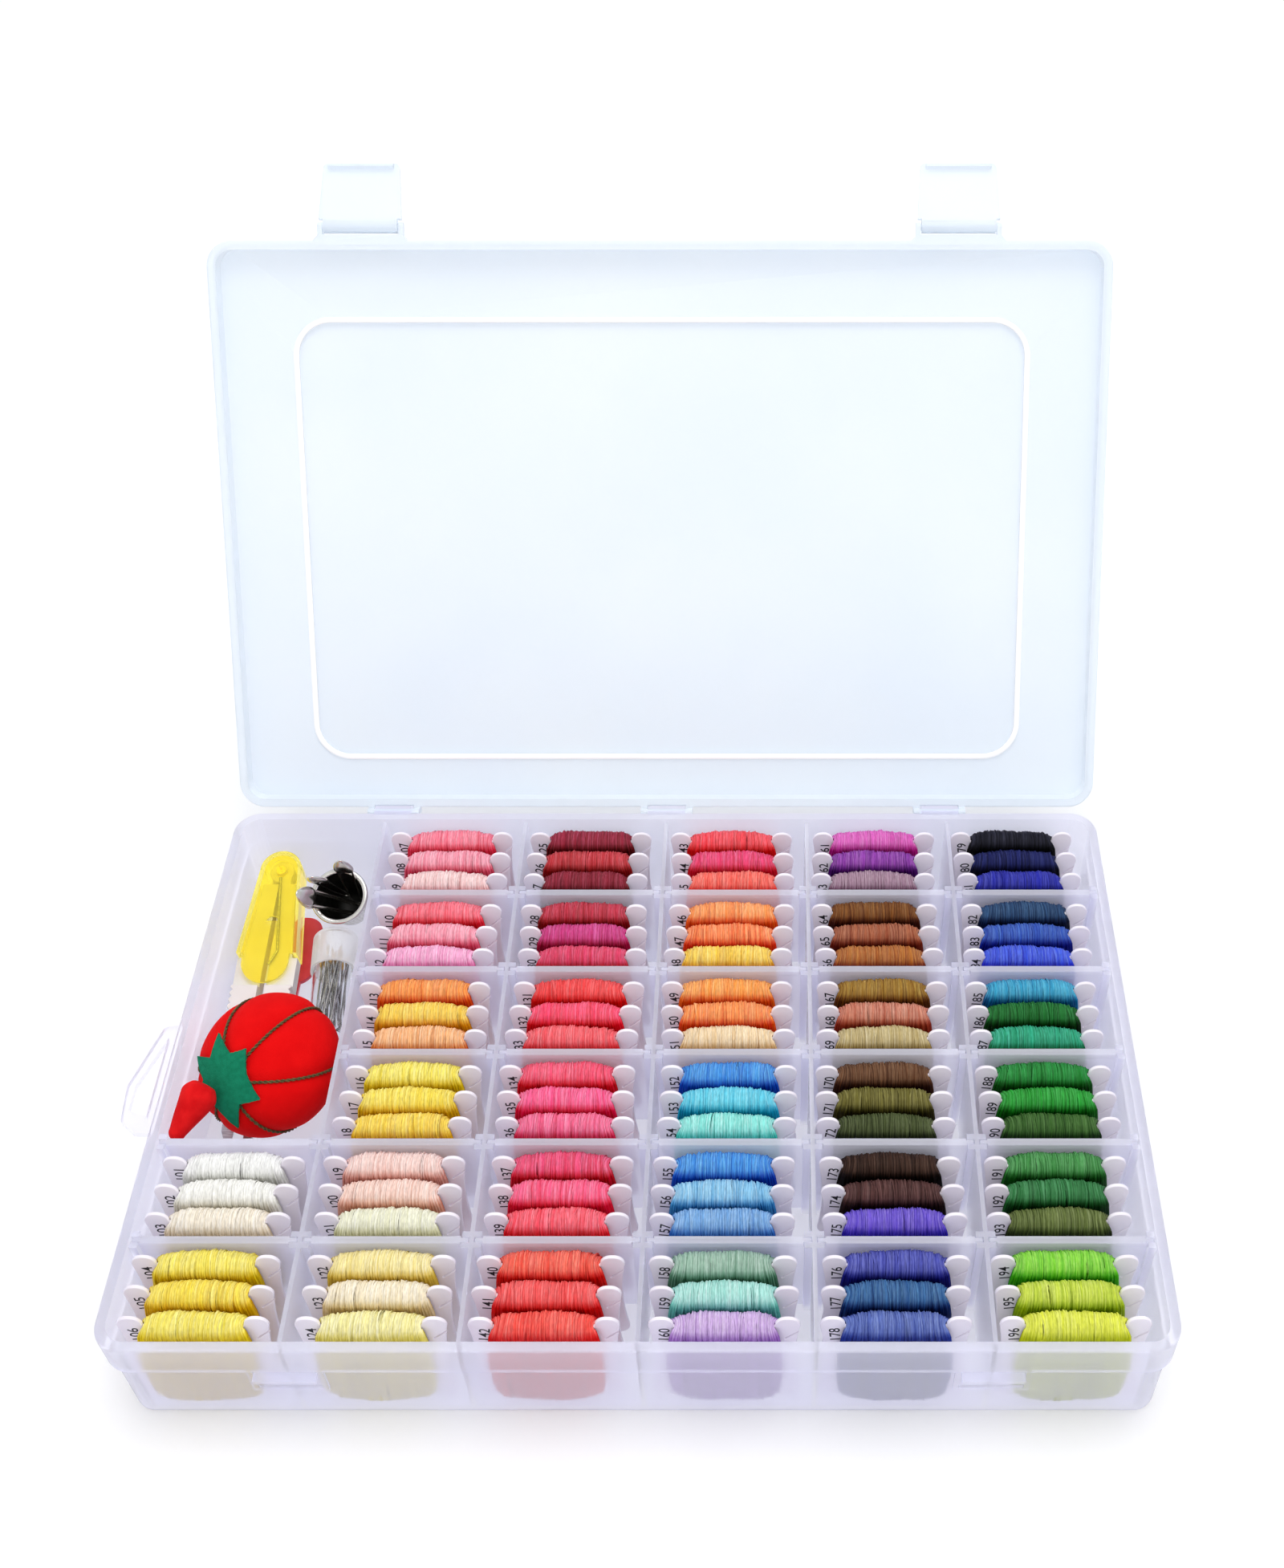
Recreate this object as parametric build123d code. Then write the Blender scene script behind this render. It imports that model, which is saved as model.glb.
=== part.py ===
from build123d import *
import os
from math import asin, atan2, cos, degrees, radians, sin, tan

# Embroidery thread box: a hinged, compartmented box of floss bobbins with a bay of sewing tools.
# Millimetres. The origin is the middle of the base's underside, +X to the right, +Y to the hinge, +Z up.

# ---------------------------------------------------------------- box, driving sizes
box_width = 275.0
box_depth = 178.0
base_height = 38.5
floor_thickness = 1.4
wall = 1.4
rim_step = 1.4                  # how far the rim band stands proud of the body
rim_band_height = 12.0
outer_corner = 8.0
edge_round = 0.6
foot_round = 1.2

column_count = 6
row_count = 6
column_wall = 1.2
cell_wall_drop = 1.5            # cell walls stop this far below the rim
divider_thickness = 1.2
divider_end_gap = 0.25
divider_face_gap = 0.15
divider_foot_gap = 0.1
divider_bead_width = 2.2
divider_bead_height = 2.0
rib_reach = 2.0
rib_thickness = 1.6
bay_row_count = 4               # rows of the first column left open as one tool bay

# ---------------------------------------------------------------- lid, hinge and latches
lid_height = 6.5
lid_panel = 1.4
lid_seat_gap = 0.2
lid_band_height = 2.5
lid_edge_round = 1.5
lid_open_angle = 122.5
plateau_rise = 0.8
plateau_side_margin = 24.0
plateau_front_margin = 23.0
plateau_back_margin = 15.0
plateau_corner = 11.0
bead_width = 1.3
bead_height = 0.5

hinge_offset = 1.2              # hinge axis behind the rim's back face
hinge_drop = 1.0                # hinge axis below the rim's top
hinge_rod_radius = 1.0
hinge_bore_clearance = 0.05
hinge_clip_radius = 2.1
hinge_clip_width = 12.0
hinge_arm_width = 2.0
hinge_side_gap = 0.3
hinge_side_margin = 49.5        # box's side to the middle of an outer hinge clip
hinge_face_gap = 0.2

latch_side_margin = 47.0        # box's side to the middle of a latch
latch_rod_radius = 0.95
latch_bore_clearance = 0.05
latch_barrel_radius = 1.9
latch_barrel_length = 22.5
latch_plate_thickness = 1.5
latch_plate_width = 25.0
latch_tip_width = 23.0
latch_reach = 19.5              # rod axis to the latch's tip
latch_axis_rise = 2.2           # rod axis above the lid's edge
latch_corner = 1.6
latch_hook_depth = 1.9
latch_hook_height = 1.7
latch_thumb_lip = 0.8
latch_clearance = 0.3
latch_upright_swing = 90.0      # from latched to in line with the lid
latch_lean_back = 20.0          # past the lid's plane, when the lid is open
lug_width = 1.4
lug_radius = 1.4
lug_side_gap = 0.3
strip_width = 28.5
strip_depth = 1.7
strip_slant = 1.6

catch_frame_width = 19.6
catch_frame_height = 11.5
catch_frame_rise = 0.8
catch_frame_bar = 1.4
catch_ledge_width = 16.2
catch_ledge_height = 1.4
catch_ledge_reach = 2.8

tab_reach = 10.5
tab_back_run = 18.0             # from the tab's middle to its back end, along the rim
tab_front_run = 18.0
tab_middle_y = -8.0
tab_thickness = 2.0
tab_top_drop = 2.0
tab_corner = 2.0
tab_slot_border = 2.4
tab_slot_width = 5.4

# ---------------------------------------------------------------- bobbins
bobbins_per_cell = 3
card_gap_left = 1.0
card_gap_right = 3.9
card_top_drop = 2.7             # card top below the rim
card_thickness = 1.4
card_ear_width = 6.5
card_ear_round = 3.0
card_notch_depth = 3.5
card_notch_round = 0.8
card_waist = 1.2
card_slit_width = 0.45
card_slit_length = 5.0
card_slit_drop = 5.5            # slit's mouth below the card's top
card_slit_mouth = 1.0           # how far the cut runs out past the edge
card_slit_angle = 40.0
card_lean = 6.5
card_lean_spread = 0.4
card_shift_spread = 0.6
card_foot_gap = 0.05
winding_gap = 0.8
winding_end_gap = 0.4
winding_notch_gap = 0.3
winding_spread = 1.8            # each side, wider at mid height than in the notch
winding_wrap = 2.6              # thread over the notch floor

# ---------------------------------------------------------------- tool bay contents
snips_length = 97.0
snips_rear_height = 21.0
snips_side_gap = 0.7
snips_wall_gap = 1.4
snips_cover_thickness = 8.8
snips_cover_wall = 1.2
snips_cover_roof = 1.1
snips_cover_floor = 1.0
snips_rear_width = 13.0
snips_width = 18.8
snips_skirt_end = 36.0
snips_tongue_end = 46.0
snips_tongue_width = 14.6
snips_handle_end = 66.0
snips_handle_gap = 0.5
snips_split_gap = 0.25          # each half to the middle, at the pivot
snips_hole_from_rear = 25.0
snips_hole_radius = 1.9
snips_handle_low = 5.0
snips_handle_full = 7.2
snips_eye_radius = 3.8
snips_eye_gap = 0.1
snips_pivot_from_rear = 6.4
snips_pivot_radius = 1.6
snips_pivot_clearance = 0.05
snips_open_half_angle = 1.1
blade_open_half_angle = 1.7
blade_root_cross = 0.8          # how far the blades would cross at the pivot
snips_grip_pitch = 2.2
snips_grip_depth = 0.6
snips_boss_radius = 3.0
snips_boss_width = 0.45
snips_boss_rise = 0.3
blade_thickness = 0.8
blade_gap = 0.1
blade_root_width = 5.2
blade_tip_width = 3.4
blade_tang = 8.0
spring_wire = 0.8
spring_reach = 26.0
spring_side = 3.0
spring_tail = 4.5

tube_radius = 6.2
tube_wall = 0.7
tube_length = 38.0
tube_yaw = 6.0
tube_cap_wall = 0.8
tube_cap_gap = 0.1
tube_cap_length = 13.0
tube_back_gap = 25.0            # from the bay's back wall to the cap's end
tube_side_gap = 1.6             # from the snips' side to the cap's side
needle_radius = 0.35
needle_length = 33.5
needle_point = 4.0
needle_layers = 3
needle_rest_gap = 0.12

thimble_rim_radius = 8.6
thimble_end_radius = 6.3
thimble_height = 19.5
thimble_wall = 0.6
thimble_dome = 2.4
thimble_rim_round = 0.55
thimble_tilt = 27.0
thimble_x_from_wall = 13.6
thimble_back_gap = 3.6

pin_wire = 0.75
pin_length = 30.0
pin_foot_half_width = 1.5
pin_head_half_width = 2.5
pin_cap_width = 6.4
pin_cap_height = 8.5
pin_cap_thickness = 2.0

threader_length = 26.0
threader_width = 13.0
threader_thickness = 1.4
threader_neck = 5.0
threader_back_gap = 38.0        # from the bay's back wall to the handle's neck
threader_rest_gap = 0.05
threader_wire = 0.4
threader_loop_length = 16.0
threader_loop_width = 5.0

cushion_side_gap = 1.35
cushion_lid_gap = 0.4
cushion_front_gap = 10.3
cushion_back_gap = 60.2         # from the bay's back wall, where the snips and the tube lie
cushion_rest_gap = 0.3          # over the snips and the tube
cushion_shift = 0.3             # towards the box's side wall
calyx_thickness = 0.9
calyx_reach = 14.0
calyx_waist = 6.0
calyx_points = 5
cushion_cord_width = 1.0
cushion_cord_rise = 0.8
cushion_cord_count = 3
cushion_stem = (-0.34, -0.62, 0.70)
strawberry_length = 17.0
strawberry_radius = 5.2
strawberry_tip_radius = 2.4
strawberry_aim = (-0.46, -0.77, -0.45)
strawberry_side_gap = 1.8       # tip to the box's side wall
strawberry_front_gap = 3.3      # tip to the divider in front
strawberry_tip_drop = 7.3       # tip below the rim

# ---------------------------------------------------------------- derived places
inner_width = box_width - 2 * (wall + rim_step)
inner_depth = box_depth - 2 * (wall + rim_step)
inner_corner = outer_corner - wall - rim_step
body_width = inner_width + 2 * wall
body_depth = inner_depth + 2 * wall
cell_width = (inner_width - (column_count - 1) * column_wall) / column_count
cell_depth = (inner_depth - (row_count - 1) * divider_thickness) / row_count
column_pitch = cell_width + column_wall
row_pitch = cell_depth + divider_thickness
cell_wall_top = base_height - cell_wall_drop
floor_top = floor_thickness

hinge_spacing = box_width / 2 - hinge_side_margin
hinge_y = box_depth / 2 + hinge_offset
hinge_z = base_height - hinge_drop
lid_edge_z = base_height + lid_seat_gap
lid_top_z = lid_edge_z + lid_height
lid_ceiling_z = lid_top_z - lid_panel

latch_spacing = box_width / 2 - latch_side_margin
latch_swing = latch_upright_swing + latch_lean_back
latch_face_y = -(box_depth / 2 + strip_depth + latch_clearance)
latch_axis_y = latch_face_y - latch_barrel_radius
latch_axis_z = lid_edge_z + latch_axis_rise
latch_tip_z = latch_axis_z - latch_reach

card_width = cell_width - card_gap_left - card_gap_right
card_height = (base_height - card_top_drop - floor_top) / cos(radians(card_lean))
notch_width = card_width - 2 * card_ear_width
card_core_height = card_height - 2 * card_notch_depth
winding_height = card_core_height + 2 * winding_wrap
lean_share = sin(radians(card_lean + card_lean_spread))
winding_thickness = (
    cell_depth - 2 * winding_end_gap - winding_height * lean_share - bobbins_per_cell * winding_gap
) / (bobbins_per_cell - lean_share)
winding_half_reach = winding_thickness / 2 + (winding_height - winding_thickness) / 2 * lean_share
first_bobbin_y = winding_half_reach + winding_end_gap
bobbin_pitch = (cell_depth - 2 * first_bobbin_y) / (bobbins_per_cell - 1)

bay_left = -inner_width / 2
bay_right = bay_left + cell_width
bay_back = inner_depth / 2
bay_front = bay_back - bay_row_count * row_pitch + divider_thickness

snips_x = bay_left + snips_side_gap + snips_width / 2
snips_tilt = degrees(asin((snips_rear_height - floor_top - blade_thickness - blade_gap) / snips_length))
snips_y = bay_back - snips_wall_gap
snips_handle_end_y = snips_y - snips_handle_end * cos(radians(snips_tilt))

tube_cap_radius = tube_radius + tube_cap_gap + tube_cap_wall
tube_x = snips_x + snips_width / 2 + tube_side_gap + tube_cap_radius
tube_axis_z = floor_top + tube_cap_radius
tube_body_back = -tube_cap_wall - tube_cap_gap
tube_end_y = bay_back - tube_back_gap + (tube_body_back - tube_length) * cos(radians(tube_yaw))


# ---------------------------------------------------------------- helpers
def slab(width, depth, height, corner, z):
    """A plate with rounded corners, centred on the origin, standing on z."""
    return Pos(0, 0, z) * extrude(RectangleRounded(width, depth, corner), height)


def block(x0, x1, y0, y1, z0, z1):
    """A box between two opposite corners."""
    return Pos((x0 + x1) / 2, (y0 + y1) / 2, (z0 + z1) / 2) * Box(x1 - x0, y1 - y0, z1 - z0)


def rod_x(radius, length, x, y, z):
    """A round rod along X, by its middle."""
    return Pos(x, y, z) * Rot(Y=90) * Cylinder(radius, length)


def prism_x(points, width, x):
    """A prism along X whose section is a list of (y, z) points, by its middle."""
    return Pos(x - width / 2, 0, 0) * extrude(Plane.YZ * make_face(Polyline(*points, close=True)), width)


def prism_z(points, z0, z1):
    """An upright prism over a list of (x, y) points."""
    return Pos(0, 0, z0) * extrude(make_face(Polyline(*points, close=True)), z1 - z0)


def column_wall_x(i):
    """Middle of the wall to the right of column i, counted from 1."""
    return -inner_width / 2 + i * column_pitch - column_wall / 2


def divider_y(k):
    """Middle of the slot between rows k and k + 1; row 1 is at the hinge."""
    return inner_depth / 2 - k * row_pitch + divider_thickness / 2


def cell_left(column):
    return -inner_width / 2 + (column - 1) * column_pitch


def cell_back(row):
    return inner_depth / 2 - (row - 1) * row_pitch


def divider_slots(column):
    """Slots that hold a divider; the tool bay has none."""
    return range(bay_row_count if column == 1 else 1, row_count)


def wobble(seed):
    """A repeatable spread between -1 and 1."""
    return sin(12.9898 * seed + 4.1)


def opened(shape):
    """Turns a piece of the closed lid to where the open lid rests."""
    return Pos(0, hinge_y, hinge_z) * Rot(X=-lid_open_angle) * Pos(0, -hinge_y, -hinge_z) * shape


def save(name, shape):
    export_step(shape, os.path.join("parts", name + ".step"))


# ---------------------------------------------------------------- base
def base_shell():
    body = slab(body_width, body_depth, base_height, inner_corner + wall, 0)
    body = fillet(body.edges().group_by(Axis.Z)[0], foot_round)
    band = slab(box_width, box_depth, rim_band_height, outer_corner, base_height - rim_band_height)
    band = fillet(band.edges().group_by(Axis.Z)[0], edge_round)
    band = fillet(band.edges().group_by(Axis.Z)[-1], edge_round)
    hollow = slab(inner_width, inner_depth, base_height, inner_corner, floor_top)
    return body + band - hollow


def slot_ribs():
    """Pairs of upright ribs that hold each cross divider at both of its ends."""
    ribs = []
    inner = divider_thickness / 2 + divider_face_gap
    for column in range(1, column_count + 1):
        left = cell_left(column)
        right = left + cell_width
        for k in divider_slots(column):
            for side in (-1, 1):
                near = divider_y(k) + side * inner
                far = near + side * rib_thickness
                low, high = min(near, far), max(near, far)
                ribs.append(block(left, left + rib_reach, low, high, floor_top, cell_wall_top))
                ribs.append(block(right - rib_reach, right, low, high, floor_top, cell_wall_top))
    return ribs


def hinge_clip(x):
    """A snap-in seat for the lid's rod, on the back of the rim."""
    back_face = box_depth / 2
    seat = rod_x(hinge_clip_radius, hinge_clip_width, x, hinge_y, hinge_z)
    seat += block(
        x - hinge_clip_width / 2, x + hinge_clip_width / 2,
        back_face - rim_step, hinge_y, hinge_z - hinge_clip_radius, base_height,
    )
    seat -= block(
        x - hinge_clip_width, x + hinge_clip_width,
        back_face - rim_step - hinge_clip_radius, hinge_y + hinge_clip_radius,
        base_height, base_height + hinge_clip_radius,
    )
    return seat


def front_catch(x):
    """A raised frame on the front wall with the ledge that the latch hooks under."""
    face = -body_depth / 2
    top = base_height - rim_band_height
    half = catch_frame_width / 2
    frame = block(x - half, x + half, face - catch_frame_rise, face, top - catch_frame_height, top)
    frame -= block(
        x - half + catch_frame_bar, x + half - catch_frame_bar,
        face - catch_frame_rise, face, top - catch_frame_height + catch_frame_bar, top,
    )
    ledge_bottom = latch_tip_z + latch_hook_height + latch_clearance
    ledge = block(
        x - catch_ledge_width / 2, x + catch_ledge_width / 2,
        face - catch_ledge_reach, face, ledge_bottom, ledge_bottom + catch_ledge_height,
    )
    return [frame, ledge]


def hang_tab():
    """A flat ear on the left of the rim with a slot to hang the box by."""
    edge = -box_width / 2
    inside = edge + rim_step
    top = base_height - tab_top_drop
    outline = [
        (inside, tab_middle_y + tab_back_run),
        (edge - 0.45 * tab_reach, tab_middle_y + 0.92 * tab_back_run),
        (edge - tab_reach, tab_middle_y - 0.15 * tab_front_run),
        (edge - 0.9 * tab_reach, tab_middle_y - 0.8 * tab_front_run),
        (edge - 0.45 * tab_reach, tab_middle_y - tab_front_run),
        (inside, tab_middle_y - tab_front_run),
    ]
    slot = [
        (edge - tab_reach + tab_slot_border + tab_slot_width, tab_middle_y + 0.72 * tab_back_run),
        (edge - tab_reach + tab_slot_border, tab_middle_y - 0.15 * tab_front_run),
        (edge - tab_reach + tab_slot_border, tab_middle_y - 0.6 * tab_front_run),
        (edge - tab_reach + tab_slot_border + tab_slot_width, tab_middle_y - 0.7 * tab_front_run),
    ]
    plate = prism_z(outline, top - tab_thickness, top)
    outer_edges = plate.edges().filter_by(Axis.Z).filter_by_position(
        Axis.X, edge - 1.01 * tab_reach, edge - 0.2 * tab_reach
    )
    plate = fillet(outer_edges, tab_corner)
    return plate - prism_z(slot, top - tab_thickness, top)


def base_tray():
    pieces = [
        block(x - column_wall / 2, x + column_wall / 2, -inner_depth / 2, inner_depth / 2,
              0.5 * floor_top, cell_wall_top)
        for x in (column_wall_x(i) for i in range(1, column_count))
    ]
    pieces += slot_ribs()
    pieces += [hinge_clip(x) for x in (-hinge_spacing, 0, hinge_spacing)]
    for side in (-1, 1):
        pieces += front_catch(side * latch_spacing)
    pieces.append(hang_tab())
    tray = base_shell() + pieces
    for x in (-hinge_spacing, 0, hinge_spacing):
        tray -= rod_x(hinge_rod_radius + hinge_bore_clearance, hinge_clip_width + 1, x, hinge_y, hinge_z)
    return tray


# ---------------------------------------------------------------- dividers
def cross_divider(column, k):
    """A removable plate with a thicker top bead, in slot k of a column."""
    left = cell_left(column)
    y = divider_y(k)
    foot = floor_top + divider_foot_gap
    plate = block(
        left + divider_end_gap, left + cell_width - divider_end_gap,
        y - divider_thickness / 2, y + divider_thickness / 2, foot, cell_wall_top,
    )
    bead_inset = rib_reach + divider_end_gap
    bead = block(
        left + bead_inset, left + cell_width - bead_inset,
        y - divider_bead_width / 2, y + divider_bead_width / 2,
        cell_wall_top - divider_bead_height, cell_wall_top,
    )
    return plate + bead


def column_dividers(column):
    return Compound(children=[cross_divider(column, k) for k in divider_slots(column)])


# ---------------------------------------------------------------- lid
def plateau(grow, z0, z1):
    """The panel's raised field, grown or shrunk all round."""
    width = box_width - 2 * plateau_side_margin + 2 * grow
    depth = box_depth - plateau_front_margin - plateau_back_margin + 2 * grow
    middle_y = (plateau_front_margin - plateau_back_margin) / 2
    return Pos(0, middle_y, 0) * slab(width, depth, z1 - z0, plateau_corner + grow, z0)


def lid_shell():
    outer = slab(body_width, body_depth, lid_height, inner_corner + wall, lid_edge_z)
    outer = fillet(outer.edges().group_by(Axis.Z)[-1], lid_edge_round)
    band = slab(box_width, box_depth, lid_band_height, outer_corner, lid_edge_z)
    band = fillet(band.edges().group_by(Axis.Z)[-1], edge_round)
    band = fillet(band.edges().group_by(Axis.Z)[0], edge_round)
    hollow = slab(inner_width, inner_depth, lid_height - lid_panel, inner_corner, lid_edge_z)
    shell = outer + band + plateau(0, lid_top_z - edge_round, lid_top_z + plateau_rise) - hollow
    shell -= plateau(-lid_panel, lid_ceiling_z - bead_height, lid_ceiling_z + plateau_rise)
    bead = plateau(0, lid_ceiling_z - bead_height, lid_ceiling_z + edge_round)
    bead -= plateau(-bead_width, lid_ceiling_z - bead_height, lid_ceiling_z + edge_round)
    return shell + bead


def hinge_arms(x):
    """Two arms from the lid's back edge that carry a rod through the base's clip."""
    back_face = box_depth / 2
    half = hinge_clip_width / 2 + hinge_side_gap
    pieces = []
    for side in (-1, 1):
        middle = x + side * (half + hinge_arm_width / 2)
        low = middle - hinge_arm_width / 2
        high = middle + hinge_arm_width / 2
        pieces.append(block(low, high, back_face + hinge_face_gap, hinge_y + hinge_rod_radius,
                            hinge_z, lid_edge_z + lid_band_height))
        pieces.append(block(low, high, back_face - rim_step, hinge_y,
                            lid_edge_z, lid_edge_z + lid_band_height))
    pieces.append(rod_x(hinge_rod_radius, 2 * (half + hinge_arm_width), x, hinge_y, hinge_z))
    return pieces


def latch_mount(x):
    """A strip on the lid's front edge with two lugs and the rod that a latch snaps onto."""
    face = -box_depth / 2
    top = lid_edge_z + lid_band_height
    half = strip_width / 2
    strip = prism_z(
        [(x - half, face + rim_step), (x - half, face), (x - half + strip_slant, face - strip_depth),
         (x + half - strip_slant, face - strip_depth), (x + half, face), (x + half, face + rim_step)],
        lid_edge_z, top,
    )
    pieces = [strip]
    rod_half = latch_barrel_length / 2 + lug_side_gap
    for side in (-1, 1):
        middle = x + side * (rod_half + lug_width / 2)
        low = middle - lug_width / 2
        high = middle + lug_width / 2
        pieces.append(block(low, high, latch_axis_y, face,
                            latch_axis_z - lug_radius, latch_axis_z + lug_radius))
        pieces.append(rod_x(lug_radius, lug_width, middle, latch_axis_y, latch_axis_z))
    pieces.append(rod_x(latch_rod_radius, 2 * (rod_half + lug_width), x, latch_axis_y, latch_axis_z))
    return pieces


def clip_clearance(x):
    """Room in the lid's back edge for the base's clip."""
    return rod_x(hinge_clip_radius + hinge_side_gap, hinge_clip_width + 2 * hinge_side_gap,
                 x, hinge_y, hinge_z)


def lid():
    shell = lid_shell()
    pieces = []
    for x in (-hinge_spacing, 0, hinge_spacing):
        shell -= clip_clearance(x)
        pieces += hinge_arms(x)
    for side in (-1, 1):
        pieces += latch_mount(side * latch_spacing)
    return opened(shell + pieces)


# ---------------------------------------------------------------- latches
def latch(x):
    """A snap-on latch, built hanging closed and then turned to where it rests."""
    top = latch_axis_z
    plate_top = top - latch_barrel_radius - latch_bore_clearance
    half = latch_plate_width / 2
    tip_half = latch_tip_width / 2
    outline = Polyline(
        (x - half, plate_top), (x - tip_half, latch_tip_z),
        (x + tip_half, latch_tip_z), (x + half, plate_top),
        close=True,
    )
    plate = Pos(0, latch_face_y, 0) * extrude(Plane.XZ * make_face(outline), latch_plate_thickness)
    tip_corners = plate.edges().filter_by(Axis.Y).group_by(Axis.Z)[0]
    plate = fillet(tip_corners, latch_corner)
    neck_half = latch_barrel_length / 2
    neck = block(x - neck_half, x + neck_half, latch_face_y - latch_plate_thickness, latch_face_y,
                 plate_top, top)
    barrel = rod_x(latch_barrel_radius, latch_barrel_length, x, latch_axis_y, latch_axis_z)
    hook_half = tip_half - latch_corner
    hook = prism_x(
        [(latch_face_y, latch_tip_z),
         (latch_face_y + latch_hook_depth, latch_tip_z + 0.5 * latch_hook_height),
         (latch_face_y + latch_hook_depth, latch_tip_z + latch_hook_height),
         (latch_face_y, latch_tip_z + latch_hook_height)],
        2 * hook_half, x,
    )
    outside = latch_face_y - latch_plate_thickness
    lip = prism_x(
        [(outside, latch_tip_z), (outside - latch_thumb_lip, latch_tip_z),
         (outside - latch_thumb_lip, latch_tip_z + latch_thumb_lip),
         (outside, latch_tip_z + 3 * latch_thumb_lip)],
        2 * hook_half, x,
    )
    piece = plate + [neck, barrel, hook, lip]
    piece -= rod_x(latch_rod_radius + latch_bore_clearance, latch_barrel_length + 1,
                   x, latch_axis_y, latch_axis_z)
    piece -= block(
        x - latch_barrel_length, x + latch_barrel_length,
        latch_axis_y - 0.7 * latch_rod_radius, latch_axis_y + 0.7 * latch_rod_radius,
        latch_axis_z, latch_axis_z + 1.2 * latch_barrel_radius,
    )
    turned = (Pos(0, latch_axis_y, latch_axis_z) * Rot(X=-latch_swing)
              * Pos(0, -latch_axis_y, -latch_axis_z) * piece)
    return opened(turned)


# ---------------------------------------------------------------- bobbins
def bobbin_card_blank():
    """A flat card with four rounded ears, a notch at each end and shallow waisted sides."""
    middle = card_height / 2
    face = Pos(0, middle) * Rectangle(card_width, card_height)
    for z in (card_notch_depth / 2, card_height - card_notch_depth / 2):
        face -= Pos(0, z) * Rectangle(notch_width, card_notch_depth)
    ends = face.vertices().group_by(Axis.Y)
    face = fillet(ends[0] + ends[-1], card_ear_round)
    waist_run = middle - card_ear_round
    waist_radius = (waist_run ** 2 + card_waist ** 2) / (2 * card_waist)
    for side in (-1, 1):
        face -= Pos(side * (card_width / 2 - card_waist + waist_radius), middle) * Circle(waist_radius)
    slit_run = card_slit_length + card_slit_mouth
    slit = Pos((card_slit_mouth - card_slit_length) / 2) * Rectangle(slit_run, card_slit_width)
    face -= Pos(card_width / 2, card_height - card_slit_drop) * Rot(Z=card_slit_angle) * slit
    return extrude(Plane.XZ * face, card_thickness / 2, both=True)


def thread_winding_blank(card):
    """A skein wound round the card's notches, thicker and wider at mid height."""
    middle = card_height / 2
    top_half = notch_width / 2 - winding_notch_gap
    wide_half = top_half + winding_spread
    section = Pos(0, middle) * Rot(Z=90) * SlotOverall(winding_height, winding_thickness)
    coil = Pos(-wide_half, 0, 0) * extrude(Plane.YZ * section, 2 * wide_half)
    low = card_notch_depth
    high = card_height - card_notch_depth
    shoulder = 4.0
    outline = Polyline(
        (-top_half, low - winding_wrap), (top_half, low - winding_wrap), (top_half, low),
        (wide_half, low + shoulder), (wide_half, high - shoulder), (top_half, high),
        (top_half, high + winding_wrap), (-top_half, high + winding_wrap), (-top_half, high),
        (-wide_half, high - shoulder), (-wide_half, low + shoulder), (-top_half, low),
        close=True,
    )
    front = extrude(Plane.XZ * make_face(outline), winding_thickness, both=True)
    return (coil & front) - card


def bobbin_place(column, row, index):
    """Where a bobbin stands: on the floor of its cell, leaning back a little."""
    seed = index + bobbins_per_cell * (row + row_count * column)
    lean = card_lean + card_lean_spread * wobble(seed)
    x = cell_left(column) + card_gap_left + card_width / 2 + card_shift_spread * wobble(2 * seed + 1)
    y_middle = cell_back(row) - first_bobbin_y - (index - 1) * bobbin_pitch
    y_foot = y_middle - card_height / 2 * sin(radians(lean))
    z = floor_top + card_foot_gap + card_thickness / 2 * sin(radians(lean))
    return Pos(x, y_foot, z) * Rot(X=-lean)


def is_bobbin_cell(column, row):
    return column > 1 or row > bay_row_count


def lifts_alone(row, index):
    """The bobbin nearest the front wall lifts straight out past the others."""
    return row == row_count and index == bobbins_per_cell


def standing_places(column):
    return [
        bobbin_place(column, row, index)
        for row in range(1, row_count + 1) if is_bobbin_cell(column, row)
        for index in range(1, bobbins_per_cell + 1) if not lifts_alone(row, index)
    ]


# ---------------------------------------------------------------- thread snips
def snips_placed(shape):
    """Local frame: origin at the rear end, +Y to the rear, mid plane at z = 0."""
    return Pos(snips_x, snips_y, snips_rear_height) * Rot(X=snips_tilt) * shape


def snips_half_width(s):
    """Half width of the cover's outline at a distance from the rear end."""
    rear = snips_rear_width / 2
    share = (s - rear) / (snips_skirt_end - rear)
    return rear + (snips_width / 2 - rear) * share


def snips_outline(inset, front, z0, z1):
    """The cover's outline, rounded at the rear and flaring to the front."""
    rear = snips_rear_width / 2
    radius = rear - inset
    flare = snips_half_width(front) - inset
    body = prism_z([(-radius, -rear), (-flare, -front), (flare, -front), (radius, -rear)], z0, z1)
    return body + Pos(0, -rear, (z0 + z1) / 2) * Cylinder(radius, z1 - z0)


def snips_cover():
    half = snips_cover_thickness / 2
    shell = snips_outline(0, snips_skirt_end, -half, half)
    cavity = snips_outline(
        snips_cover_wall, snips_skirt_end + 1, -half + snips_cover_floor, half - snips_cover_roof
    )
    tongue_half = snips_tongue_width / 2
    tongue_middle = snips_tongue_end - tongue_half
    roof = half - snips_cover_roof
    tongue = block(-tongue_half, tongue_half, -tongue_middle, -snips_skirt_end + 2, roof, half)
    tongue += Pos(0, -tongue_middle, (roof + half) / 2) * Cylinder(tongue_half, half - roof)
    boss = Pos(0, -snips_pivot_from_rear, half + snips_boss_rise / 2) * (
        Cylinder(snips_boss_radius, snips_boss_rise)
        - Cylinder(snips_boss_radius - snips_boss_width, snips_boss_rise)
    )
    hole = Pos(0, -snips_hole_from_rear, half) * (
        Cylinder(snips_hole_radius, 4 * snips_cover_roof)
        & Pos(0, snips_hole_radius, 0) * Box(2 * snips_hole_radius,
                                             2 * snips_hole_radius, 4 * snips_cover_roof)
    )
    return shell - cavity + tongue + boss - hole


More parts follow.
